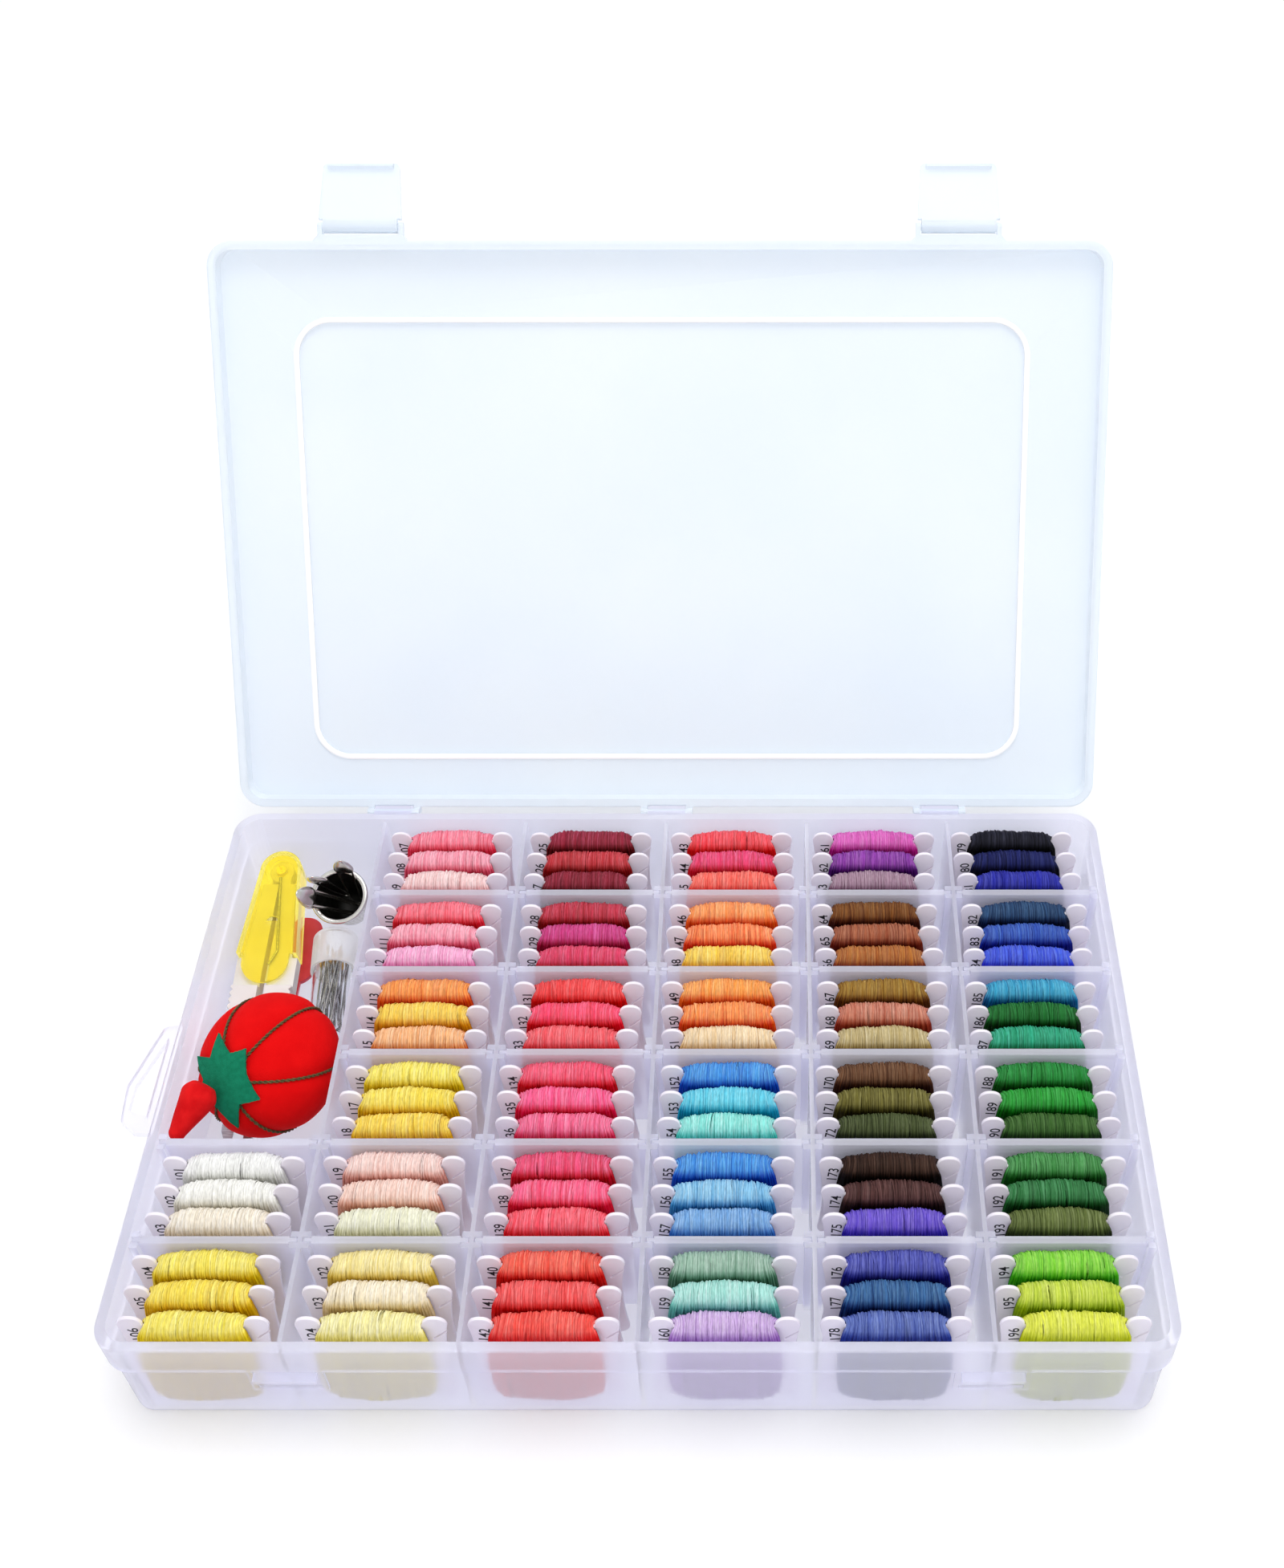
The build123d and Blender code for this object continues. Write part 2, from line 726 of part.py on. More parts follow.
def snips_pivot():
    half = snips_cover_thickness / 2
    low = -half + snips_cover_floor
    high = half - snips_cover_roof
    return Pos(0, -snips_pivot_from_rear, (low + high) / 2) * Cylinder(snips_pivot_radius, high - low)


def snips_levels():
    """Bottom and top of the handle halves inside the cover, and their middle."""
    low = -snips_cover_thickness / 2 + snips_cover_floor + 0.5 * snips_handle_gap
    high = low + snips_handle_low
    return low, high, (low + high) / 2


def snips_handle(side):
    """One half of the handle. side is -1 for the left half, 1 for the right one."""
    low, high, middle = snips_levels()
    pivot_y = -snips_pivot_from_rear
    eye_low = low if side < 0 else middle + snips_eye_gap / 2
    eye_high = middle - snips_eye_gap / 2 if side < 0 else high
    eye_front = snips_pivot_from_rear + snips_eye_radius + snips_handle_gap
    slope = tan(radians(snips_open_half_angle))

    def inner(s):
        return side * (snips_split_gap + (s - snips_pivot_from_rear) * slope)

    def under_cover(s):
        return side * (snips_half_width(s) - snips_cover_wall - snips_handle_gap)

    outer = side * snips_width / 2
    skirt = snips_skirt_end + snips_handle_gap
    body = prism_z(
        [(inner(eye_front), -eye_front), (inner(skirt), -skirt), (under_cover(skirt), -skirt),
         (under_cover(eye_front), -eye_front)],
        low, high,
    )
    grip_points = [(inner(skirt), -skirt), (inner(snips_handle_end), -snips_handle_end),
                   (0.72 * outer, -snips_handle_end), (outer, -snips_handle_end + 6), (outer, -skirt)]
    tongue_clear = snips_tongue_end + snips_handle_gap
    grip = prism_z(grip_points, low, high)
    thick = prism_z(grip_points, -snips_handle_full / 2, snips_handle_full / 2)
    thick &= block(-snips_width, snips_width, -snips_handle_end, -tongue_clear,
                   -snips_handle_full, snips_handle_full)
    eye = Pos(0, pivot_y, (eye_low + eye_high) / 2) * Cylinder(snips_eye_radius, eye_high - eye_low)
    neck_out = side * 0.9 * snips_eye_radius
    neck = prism_z(
        [(inner(snips_pivot_from_rear), pivot_y), (inner(eye_front + 1), -eye_front - 1),
         (neck_out, -eye_front - 1), (neck_out, pivot_y)],
        eye_low, eye_high,
    )
    half = body + [grip, thick, eye, neck]
    bore_radius = snips_pivot_radius + snips_pivot_clearance
    bore = Pos(0, pivot_y, middle) * Cylinder(bore_radius, 2 * snips_handle_low)
    notches = []
    count = int((snips_handle_end - 8 - tongue_clear) / snips_grip_pitch)
    for i in range(count):
        y = -tongue_clear - 1.5 - i * snips_grip_pitch
        notches.append(Pos(outer, y, 0) * Rot(Z=45) * Box(snips_grip_depth * 1.6, snips_grip_depth * 1.6, 12))
    return half - bore - notches - snips_blade(side)


def snips_blade(side):
    """A flat blade, its tang held inside the handle half."""
    slope = tan(radians(blade_open_half_angle))
    z0 = blade_gap / 2 if side > 0 else -blade_gap / 2 - blade_thickness
    root = snips_handle_end - blade_tang

    def inner(s):
        return side * ((s - snips_pivot_from_rear) * slope - blade_root_cross)

    points = [
        (inner(root), -root), (inner(snips_length), -snips_length),
        (inner(snips_length) + side * 0.4 * blade_tip_width, -snips_length),
        (inner(snips_length) + side * blade_tip_width, -snips_length + 5),
        (inner(snips_handle_end) + side * blade_root_width, -snips_handle_end),
        (inner(root) + side * blade_root_width, -root),
    ]
    return prism_z(points, z0, z0 + blade_thickness)


def snips_spring():
    """A bent wire lying over the two halves, under the cover's roof."""
    low, high, middle = snips_levels()
    roof = snips_cover_thickness / 2 - snips_cover_roof
    z = (high + roof) / 2
    start = -snips_pivot_from_rear - snips_pivot_radius - spring_wire
    path = FilletPolyline(
        (0, start, z), (spring_side, start - spring_reach, z),
        (0.3 * spring_side, start - spring_reach - spring_tail, z),
        radius=1.2,
    )
    return sweep(Plane(origin=path @ 0, z_dir=path % 0) * Circle(spring_wire / 2), path=path)


# ---------------------------------------------------------------- needles in their tube
def tube_placed(shape):
    """Local frame: origin on the tube's axis at the cap's end, +Y to the rear."""
    return Pos(tube_x, bay_back - tube_back_gap, tube_axis_z) * Rot(Z=tube_yaw) * shape


def along_y(radius, y0, y1):
    """A round bar along Y between two places."""
    return Pos(0, (y0 + y1) / 2, 0) * Rot(X=90) * Cylinder(radius, y1 - y0)


def tube_body():
    front = tube_body_back - tube_length
    outer = along_y(tube_radius, front, tube_body_back)
    outer = fillet(outer.edges().group_by(Axis.Y)[0], 2 * tube_wall)
    return outer - along_y(tube_radius - tube_wall, front + tube_wall, tube_body_back)


def tube_cap():
    inner = tube_radius + tube_cap_gap
    outer = along_y(tube_cap_radius, -tube_cap_length, 0)
    outer = fillet(outer.edges().group_by(Axis.Y)[-1], tube_cap_wall)
    return outer - along_y(inner, -tube_cap_length, -tube_cap_wall)


def tube_needles():
    """Needles lying in layers at the bottom of the tube."""
    inner = tube_radius - tube_wall
    spacing = 2 * needle_radius + needle_rest_gap
    start = tube_body_back - 1.5
    needles = []
    for layer in range(needle_layers):
        z = -inner + needle_radius + needle_rest_gap + layer * spacing
        reach = (inner ** 2 - (inner - z - inner) ** 2) ** 0.5 if z > -inner else 0
        count = int((2 * (reach - needle_radius)) / spacing * 0.8)
        for i in range(count):
            x = (i - (count - 1) / 2) * spacing
            shank = Pos(x, 0, z) * along_y(needle_radius, start - needle_length + needle_point, start)
            point = (Pos(x, start - needle_length + needle_point / 2, z) * Rot(X=90)
                     * Cone(needle_radius, needle_radius * 0.15, needle_point))
            needles.append(shank + point)
    return Compound(children=needles)


# ---------------------------------------------------------------- thimble and safety pins
def thimble_foot():
    """Middle of the thimble's closed end, leaning forward from the bay's back wall."""
    tilt = radians(thimble_tilt)
    y = bay_back - thimble_back_gap - thimble_end_radius * cos(tilt)
    z = floor_top + thimble_end_radius * sin(tilt) + 0.3
    return Pos(bay_right - thimble_x_from_wall, y, z) * Rot(X=thimble_tilt)


def thimble():
    """Local frame: closed end at z = 0, open end up."""
    t = thimble_wall
    outer = [(0, 0), (thimble_end_radius - thimble_dome, 0), (thimble_end_radius, thimble_dome),
             (thimble_rim_radius, thimble_height)]
    inner = [(thimble_rim_radius - t, thimble_height), (thimble_end_radius - t, thimble_dome + t / 2),
             (thimble_end_radius - thimble_dome, t), (0, t)]
    profile = Plane.XZ * make_face(Polyline(*(outer + inner), close=True))
    cup = revolve(profile, Axis.Z)
    rim = Pos(0, 0, thimble_height) * Torus(thimble_rim_radius - t / 2, thimble_rim_round)
    return thimble_foot() * (cup + rim)


def safety_pin_wire():
    """Local frame: coil at the origin, the cap's end up the Z axis."""
    r = pin_wire / 2
    foot = pin_foot_half_width
    head_z = pin_length - pin_cap_height / 2
    arm = FilletPolyline(
        (-pin_head_half_width, 0, head_z), (-foot, 0, 0), (foot, 0, 0), (pin_head_half_width, 0, head_z),
        radius=foot * 0.8,
    )
    return sweep(Plane(origin=arm @ 0, z_dir=arm % 0) * Circle(r), path=arm)


def safety_pin_cap(wire):
    """The folded sheet cap over both arms, open at the bottom between them."""
    half = pin_cap_width / 2
    low = pin_length - pin_cap_height
    body = block(-half, half, -pin_cap_thickness / 2, pin_cap_thickness / 2, low, pin_length)
    body = fillet(body.edges().filter_by(Axis.Y).group_by(Axis.Z)[-1], 0.8 * half)
    opening = prism_x([(-3, low), (3, low), (3, low + 0.5 * pin_cap_height),
                       (-3, low + 0.5 * pin_cap_height)],
                      half * 0.55, 0)
    return body - opening - wire


def safety_pin_places():
    """Foot in the thimble, then lean, direction of the lean and turn about the pin's own length.

    Two pins lie over the rim's left, one on the other, a third stands edge on beside them,
    and the fourth stands up against the back.
    """
    leans = [
        (4.0, -1.8, 3.0, -30, 0, 90),
        (4.7, -1.8, 6.8, -30, 0, 90),
        (-1.0, 3.5, 3.0, -10, 0, 0),
        (2.5, 1.0, 3.5, 15, 90, -90),
    ]
    return [
        thimble_foot() * Pos(x, y, z) * Rot(Z=around) * Rot(Y=lean) * Rot(Z=turn)
        for x, y, z, lean, around, turn in leans
    ]


# ---------------------------------------------------------------- needle threader
def threader_place():
    x = snips_x + snips_width / 2 - threader_width * 0.35
    return Pos(x, bay_back - threader_back_gap, floor_top + threader_thickness / 2 + threader_rest_gap)


def threader_handle():
    outline = RectangleRounded(threader_width, threader_length, threader_width * 0.45)
    body = Pos(0, threader_length / 2) * outline
    neck = Pos(0, -threader_neck / 2 + 1) * Rectangle(0.45 * threader_width, threader_neck + 2)
    plate = extrude(Sketch() + [body, neck], threader_thickness / 2, both=True)
    return threader_place() * (plate - threader_loop())


def threader_loop():
    """A fine wire diamond, its two ends held in the handle's neck."""
    start = 2.0
    half = threader_loop_width / 2
    tip = -threader_neck - threader_loop_length
    path = FilletPolyline(
        (-0.5, start, 0), (-0.5, -threader_neck, 0), (-half, (tip - threader_neck) / 2, 0), (0, tip, 0),
        (half, (tip - threader_neck) / 2, 0), (0.5, -threader_neck, 0), (0.5, start, 0),
        radius=0.6,
    )
    return sweep(Plane(origin=path @ 0, z_dir=path % 0) * Circle(threader_wire / 2), path=path)


# ---------------------------------------------------------------- tomato pincushion
cushion_half_width = cell_width / 2 - cushion_side_gap - cushion_shift
cushion_top = lid_ceiling_z - bead_height - cushion_lid_gap - cushion_cord_rise
cushion_half_depth = (bay_back - cushion_back_gap - bay_front - cushion_front_gap) / 2
cushion_x = bay_left + cell_width / 2 - cushion_shift
cushion_y = bay_front + cushion_front_gap + cushion_half_depth


def snips_top(y, rise):
    """Height of the snips' upper side above a place along the bay; rise is measured from their mid plane."""
    return snips_rear_height - (snips_y - y) * tan(radians(snips_tilt)) + rise / cos(radians(snips_tilt))


def half_height_over_slope(top_at_middle):
    """The tallest half height that still clears the blades, which rise to the rear under the cushion."""
    room = cushion_top - top_at_middle - cushion_rest_gap
    rise = cushion_half_depth * tan(radians(snips_tilt))
    return (room ** 2 - rise ** 2) / (2 * room)


def half_height_over_end(y, top):
    """The tallest half height that still clears an end reaching in under the cushion's back."""
    reach = min(abs(y - cushion_y) / cushion_half_depth, 1)
    return (cushion_top - top - cushion_rest_gap) / (1 + (1 - reach ** 2) ** 0.5)


cushion_half_height = min(
    half_height_over_slope(snips_top(cushion_y, blade_gap / 2 + blade_thickness)),
    half_height_over_end(snips_handle_end_y, snips_top(snips_handle_end_y, snips_handle_full / 2)),
    half_height_over_end(tube_end_y, tube_axis_z + tube_radius),
)
cushion_z = cushion_top - cushion_half_height


def stem_turn():
    """Turns the Z axis to the cushion's stem."""
    x, y, z = cushion_stem
    return Rot(Z=degrees(atan2(y, x))) * Rot(Y=degrees(atan2((x * x + y * y) ** 0.5, z)))


def cushion_ball(grow):
    """A round cushion, a little flattened, centred on the origin."""
    half_sizes = (cushion_half_width + grow, cushion_half_depth + grow, cushion_half_height + grow)
    return scale(Sphere(1), by=half_sizes)


def cushion_placed(shape):
    return Pos(cushion_x, cushion_y, cushion_z) * shape


def calyx_prism(shrink):
    """A five-pointed star along the stem, from the middle of the cushion outward."""
    points = []
    for i in range(2 * calyx_points):
        radius = (calyx_reach if i % 2 == 0 else calyx_waist) - shrink
        angle = radians(180 * i / calyx_points + 20)
        points.append((radius * cos(angle), radius * sin(angle)))
    return stem_turn() * prism_z(points, 0, 2 * cushion_half_depth)


def pincushion_calyx():
    return cushion_placed((cushion_ball(calyx_thickness) - cushion_ball(0)) & calyx_prism(0))


def pincushion_cords():
    """Cords drawn round the cushion through the stem, dividing it into segments."""
    shell = cushion_ball(cushion_cord_rise) - cushion_ball(0)
    reach = 3 * cushion_half_depth
    pieces = []
    for i in range(cushion_cord_count):
        turn = 180 * i / cushion_cord_count + 12
        pieces.append(stem_turn() * Rot(Z=turn) * Box(reach, cushion_cord_width, reach))
    sheets = pieces[0] + pieces[1:]
    return cushion_placed((shell & sheets) - calyx_prism(0))


def strawberry():
    """A small filled cone along Z, its neck at the origin."""
    big = strawberry_radius
    tip = strawberry_tip_radius
    length = strawberry_length
    profile = make_face([
        Line((0, 0), (0.6 * big, 0)),
        Line((0.6 * big, 0), (big, 0.22 * length)),
        Line((big, 0.22 * length), (tip, length - tip)),
        CenterArc((0, length - tip), tip, 0, 90),
        Line((0, length), (0, 0)),
    ])
    return revolve(Plane.XZ * profile, Axis.Z)


def strawberry_placed():
    """It hangs from the calyx into the bay's front left corner."""
    tip = Vector(bay_left + strawberry_side_gap, bay_front + strawberry_front_gap,
                 base_height - strawberry_tip_drop)
    aim = Vector(*strawberry_aim).normalized()
    return Plane(origin=tip - aim * strawberry_length, z_dir=aim).location * strawberry()


# ---------------------------------------------------------------- write every node
def main():
    os.makedirs("parts", exist_ok=True)
    save("base_tray", base_tray())
    save("lid", lid())
    save("latch_left", latch(-latch_spacing))
    save("latch_right", latch(latch_spacing))

    for column in range(2, column_count + 1):
        save(f"dividers_column_{column}", column_dividers(column))
    save("divider_behind_row_5", cross_divider(1, bay_row_count))
    save("divider_behind_row_6", cross_divider(1, bay_row_count + 1))

    card = bobbin_card_blank()
    winding = thread_winding_blank(card)
    for column in range(1, column_count + 1):
        places = standing_places(column)
        save(f"bobbin_cards_column_{column}", Compound(children=[place * card for place in places]))
        save(f"thread_windings_column_{column}", Compound(children=[place * winding for place in places]))
        front = bobbin_place(column, row_count, bobbins_per_cell)
        save(f"front_bobbin_card_{column}", front * card)
        save(f"front_thread_winding_{column}", front * winding)

    save("snips_cover", snips_placed(snips_cover()))
    save("snips_pivot", snips_placed(snips_pivot()))
    save("snips_spring", snips_placed(snips_spring()))
    save("snips_handle_left", snips_placed(snips_handle(-1)))
    save("snips_handle_right", snips_placed(snips_handle(1)))
    save("snips_blade_left", snips_placed(snips_blade(-1)))
    save("snips_blade_right", snips_placed(snips_blade(1)))

    save("needle_tube", tube_placed(tube_body()))
    save("needle_tube_cap", tube_placed(tube_cap()))
    save("needles", tube_placed(tube_needles()))

    save("thimble", thimble())
    pin_wire_blank = safety_pin_wire()
    pin_cap_blank = safety_pin_cap(pin_wire_blank)
    pins = safety_pin_places()
    save("safety_pin_wires", Compound(children=[place * pin_wire_blank for place in pins]))
    save("safety_pin_caps", Compound(children=[place * pin_cap_blank for place in pins]))

    save("threader_handle", threader_handle())
    save("threader_wire", threader_place() * threader_loop())

    save("pincushion", cushion_placed(cushion_ball(0)))
    save("pincushion_calyx", pincushion_calyx())
    save("pincushion_cords", pincushion_cords())
    save("strawberry_emery", strawberry_placed())


main()
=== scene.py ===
"""Looks of the embroidery thread box: frosted tray and lid, wound floss bobbins and a bay of sewing tools."""

from math import asin, atan2, copysign, cos, degrees, exp, hypot, pi, radians, sin, sqrt

import bpy
import numpy as np
from mathutils import Matrix, Vector


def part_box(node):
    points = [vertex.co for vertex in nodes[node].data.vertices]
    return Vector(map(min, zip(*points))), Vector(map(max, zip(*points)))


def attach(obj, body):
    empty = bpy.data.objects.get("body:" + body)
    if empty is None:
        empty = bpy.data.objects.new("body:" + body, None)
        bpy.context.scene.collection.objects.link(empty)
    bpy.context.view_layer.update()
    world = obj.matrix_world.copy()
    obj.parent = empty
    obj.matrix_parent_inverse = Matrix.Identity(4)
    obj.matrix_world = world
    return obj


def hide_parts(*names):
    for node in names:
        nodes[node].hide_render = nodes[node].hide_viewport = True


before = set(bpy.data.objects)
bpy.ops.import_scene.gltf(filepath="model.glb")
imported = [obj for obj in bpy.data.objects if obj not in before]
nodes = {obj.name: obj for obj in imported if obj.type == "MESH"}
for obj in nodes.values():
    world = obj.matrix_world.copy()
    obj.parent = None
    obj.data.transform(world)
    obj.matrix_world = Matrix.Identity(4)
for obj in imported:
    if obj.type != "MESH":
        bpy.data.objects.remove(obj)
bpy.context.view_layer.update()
MM = 0.001

# ---------------------------------------- sizes, in millimetres
box_width, box_depth = 275.0, 178.0
inner_width, inner_depth = 269.4, 172.4
column_count = row_count = 6
# the first column's back rows are one open bay, and every other cell holds this many bobbins
bay_row_count, bobbins_per_cell = 4, 3
column_wall = divider_thickness = 1.2
cell_width = (inner_width - (column_count - 1) * column_wall) / column_count
cell_depth = (inner_depth - (row_count - 1) * divider_thickness) / row_count
column_pitch = cell_width + column_wall
row_pitch = cell_depth + divider_thickness
floor_top = 1.4
base_height = 38.5

card_gap_left, card_gap_right = 1.0, 3.9
card_lean, card_lean_spread, card_shift_spread = 6.5, 0.4, 0.6
card_width = cell_width - card_gap_left - card_gap_right
card_top_gap, card_foot_gap = 2.7, 0.05
card_height = (base_height - card_top_gap - floor_top) / cos(radians(card_lean))
card_thickness, card_edge = 1.0, 0.2
ear_width, ear_round, notch_depth, waist = 6.5, 3.0, 3.5, 1.2
notch_width = card_width - 2 * ear_width
slit_length, slit_drop, slit_width, slit_angle = 5.0, 5.5, 0.5, 40.0
winding_wrap, winding_gap, winding_end_gap = 2.6, 0.8, 0.4
winding_height = card_height - 2 * notch_depth + 2 * winding_wrap
lean_share = sin(radians(card_lean + card_lean_spread))
# the solids' windings fill a cell with plain gaps, and the dressed ones are a little fuller
winding_gaps = 2 * winding_end_gap + bobbins_per_cell * winding_gap
cad_winding = (cell_depth - winding_gaps - winding_height * lean_share) / (bobbins_per_cell - lean_share)
first_bobbin_y = cad_winding / 2 + (winding_height - cad_winding) / 2 * lean_share + winding_end_gap
bobbin_pitch = (cell_depth - 2 * first_bobbin_y) / (bobbins_per_cell - 1)
winding_fullness = 0.75
winding_thickness = cad_winding + winding_fullness
first_number, number_size = 101, 4.0

# ---------------------------------------- thread colours
# the threads' shades as display colours, 0 to 255
SHADES = {
    "white": (246, 246, 243), "off_white": (244, 243, 236), "cream": (243, 232, 212),
    "pale_rose": (246, 200, 198), "light_pink": (248, 142, 165), "salmon": (238, 105, 130),
    "coral_pink": (242, 88, 108), "lilac_pink": (240, 152, 196), "pale_peach": (250, 210, 200),
    "pale_apricot": (248, 206, 190), "grey_cream": (226, 225, 195), "cream_yellow": (245, 226, 140),
    "cream_pink": (240, 225, 192), "pale_yellow": (244, 234, 150), "lemon": (253, 234, 76),
    "bright_yellow": (255, 226, 6), "golden_yellow": (255, 215, 4), "golden": (235, 190, 20),
    "sun_yellow": (252, 206, 20), "amber": (248, 140, 30), "deep_amber": (235, 140, 22),
    "light_orange": (252, 142, 60), "orange": (250, 116, 50), "burnt_orange": (230, 120, 32),
    "tan_orange": (240, 166, 100), "tan_cream": (226, 196, 150), "coral_red": (240, 76, 60),
    "orange_red": (228, 52, 30), "coral": (226, 66, 46), "red": (225, 32, 42),
    "bright_red": (226, 32, 52), "poppy": (225, 52, 52), "light_red": (226, 62, 72),
    "pink_red": (230, 42, 80), "red_pink": (230, 56, 76), "raspberry": (216, 46, 90),
    "crimson_rose": (225, 52, 86), "hot_pink": (235, 62, 120), "rose": (226, 72, 120),
    "rose_pink": (235, 62, 110), "deep_rose": (205, 32, 76), "magenta_red": (215, 28, 90),
    "magenta": (190, 22, 110), "deep_red": (176, 16, 50), "dark_red": (180, 20, 40),
    "burgundy": (140, 12, 46), "maroon": (130, 14, 40), "orchid": (205, 72, 170),
    "purple": (126, 46, 150), "dusty_mauve": (150, 116, 136), "lilac": (190, 156, 210),
    "violet": (86, 60, 186), "violet_blue": (60, 66, 160), "slate_lilac": (70, 90, 165),
    "steel_blue": (40, 86, 140), "slate_blue": (30, 60, 100), "navy": (14, 20, 76),
    "black": (18, 18, 30), "royal_blue": (18, 30, 150), "blue": (22, 66, 165),
    "vivid_blue": (20, 60, 200), "bright_blue": (12, 126, 208), "light_blue": (110, 176, 215),
    "pale_steel": (96, 150, 206), "sea_blue": (12, 140, 180), "turquoise": (72, 190, 215),
    "mint": (120, 215, 205), "aqua": (150, 210, 200), "grey_green": (140, 175, 155),
    "emerald": (16, 150, 110), "dark_green": (12, 96, 32), "green": (16, 120, 40),
    "bright_green": (20, 140, 36), "moss": (46, 86, 30), "leaf_green": (55, 130, 60),
    "forest": (40, 110, 56), "olive_green": (86, 100, 46), "lime": (112, 196, 22),
    "yellow_green": (180, 200, 22), "lemon_lime": (210, 216, 42), "dark_brown": (96, 60, 36),
    "brown": (110, 60, 22), "red_brown": (150, 76, 46), "copper": (160, 86, 30),
    "olive_brown": (140, 100, 30), "pink_tan": (186, 106, 80), "khaki": (180, 160, 106),
    "olive": (96, 90, 36), "dark_olive": (60, 70, 36), "black_brown": (46, 26, 18),
    "mauve_brown": (70, 40, 38),
}
# by column and row, the shades of a cell's three bobbins from back to front
CELLS = {
    (1, 5): ("white", "off_white", "cream"),
    (1, 6): ("lemon", "bright_yellow", "lemon"),
    (2, 1): ("salmon", "light_pink", "pale_rose"),
    (2, 2): ("coral_pink", "light_pink", "lilac_pink"),
    (2, 3): ("amber", "sun_yellow", "tan_orange"),
    (2, 4): ("lemon", "bright_yellow", "golden_yellow"),
    (2, 5): ("pale_peach", "pale_apricot", "grey_cream"),
    (2, 6): ("cream_yellow", "cream_pink", "pale_yellow"),
    (3, 1): ("burgundy", "dark_red", "maroon"),
    (3, 2): ("deep_red", "magenta", "deep_rose"),
    (3, 3): ("red", "pink_red", "light_red"),
    (3, 4): ("crimson_rose", "hot_pink", "rose"),
    (3, 5): ("raspberry", "rose_pink", "red_pink"),
    (3, 6): ("coral", "poppy", "orange_red"),
    (4, 1): ("bright_red", "magenta_red", "coral_red"),
    (4, 2): ("light_orange", "orange", "golden"),
    (4, 3): ("deep_amber", "burnt_orange", "tan_cream"),
    (4, 4): ("bright_blue", "turquoise", "mint"),
    (4, 5): ("bright_blue", "light_blue", "pale_steel"),
    (4, 6): ("grey_green", "aqua", "lilac"),
    (5, 1): ("orchid", "purple", "dusty_mauve"),
    (5, 2): ("brown", "red_brown", "copper"),
    (5, 3): ("olive_brown", "pink_tan", "khaki"),
    (5, 4): ("dark_brown", "olive", "dark_olive"),
    (5, 5): ("black_brown", "mauve_brown", "violet"),
    (5, 6): ("violet_blue", "steel_blue", "slate_lilac"),
    (6, 1): ("black", "navy", "royal_blue"),
    (6, 2): ("slate_blue", "blue", "vivid_blue"),
    (6, 3): ("sea_blue", "dark_green", "emerald"),
    (6, 4): ("green", "bright_green", "moss"),
    (6, 5): ("leaf_green", "forest", "olive_green"),
    (6, 6): ("lime", "yellow_green", "lemon_lime"),
}


def vivid(shade):
    """A thread's colour as scene-linear values, a little stronger than its plain shade."""
    plain = linear(shade)
    middle = sum(plain) / 3
    strong = [max(middle + 1.08 * (value - middle), 0.003) for value in plain]
    gain = min(1.15, 0.96 / max(strong))
    return [gain * value for value in strong]


def linear(shade):
    """A display colour, 0 to 255, as scene-linear values."""
    out = []
    for value in shade:
        value /= 255
        out.append(value / 12.92 if value <= 0.04045 else ((value + 0.055) / 1.055) ** 2.4)
    return out


# ---------------------------------------- mesh helpers
def new_object(name, points, faces, material, smooth=True, colours=None):
    """A mesh object from millimetre points; colours is one linear colour per point."""
    mesh = bpy.data.meshes.new(name)
    points = np.asarray(points, float) * MM
    mesh.from_pydata(points.tolist(), [], [list(map(int, f)) for f in faces])
    mesh.update()
    if colours is not None:
        layer = mesh.attributes.new("thread", "FLOAT_COLOR", "POINT")
        rgba = np.ones((len(points), 4), np.float32)
        rgba[:, :3] = colours
        layer.data.foreach_set("color", rgba.ravel())
    if smooth:
        mesh.polygons.foreach_set("use_smooth", [True] * len(mesh.polygons))
    mesh.materials.append(material)
    return linked(name, mesh)


def linked(name, data):
    """A new object for a mesh, curve, lamp or camera, in the scene."""
    thing = bpy.data.objects.new(name, data)
    bpy.context.scene.collection.objects.link(thing)
    return thing


class Pile:
    """Points, faces and colours gathered from many small pieces."""

    def __init__(self):
        self.points, self.faces, self.colours, self.count = [], [], [], 0

    def add(self, points, faces, colours=None):
        points = np.asarray(points, float)
        self.points.append(points)
        self.faces.extend([[int(i) + self.count for i in f] for f in faces])
        if colours is not None:
            self.colours.append(np.broadcast_to(colours, (len(points), 3)))
        self.count += len(points)

    def build(self, name, material, smooth=True):
        colours = np.concatenate(self.colours) if self.colours else None
        return new_object(name, np.concatenate(self.points), self.faces, material, smooth, colours)


def grid_faces(rows, columns, wrap_rows=False):
    """Quads over a rows x columns grid of points, whose columns run round and meet."""
    faces = []
    for r in range(rows if wrap_rows else rows - 1):
        for c in range(columns):
            this_row, next_row = r * columns, (r + 1) % rows * columns
            next_column = (c + 1) % columns
            faces.append((this_row + c, this_row + next_column, next_row + next_column, next_row + c))
    return faces


def end_faces(rows, columns):
    """Two faces that close the first and the last row of a grid."""
    return [tuple(range(columns))[::-1], tuple((rows - 1) * columns + k for k in range(columns))]


def tube(path, radius, sides):
    """A round closed bar along a path of points; radius may be one value per point."""
    path = np.asarray(path, float)
    count = len(path)
    radius = np.broadcast_to(radius, (count,))
    along = np.gradient(path, axis=0)
    along /= np.linalg.norm(along, axis=1)[:, None] + 1e-12
    side = np.cross(along[0], (0.3, 0.5, 0.81))
    side /= np.linalg.norm(side)
    points = []
    for i in range(count):
        side = side - along[i] * (side @ along[i])
        side /= np.linalg.norm(side)
        other = np.cross(along[i], side)
        for k in range(sides):
            angle = 2 * pi * k / sides
            points.append(path[i] + radius[i] * (cos(angle) * side + sin(angle) * other))
    return np.array(points), grid_faces(count, sides) + end_faces(count, sides)


def lathe(profile, sides):
    """A turned surface from (radius, height) points, about Z."""
    points = []
    for radius, height in profile:
        for k in range(sides):
            angle = 2 * pi * k / sides
            points.append((radius * cos(angle), radius * sin(angle), height))
    return np.array(points), grid_faces(len(profile), sides)


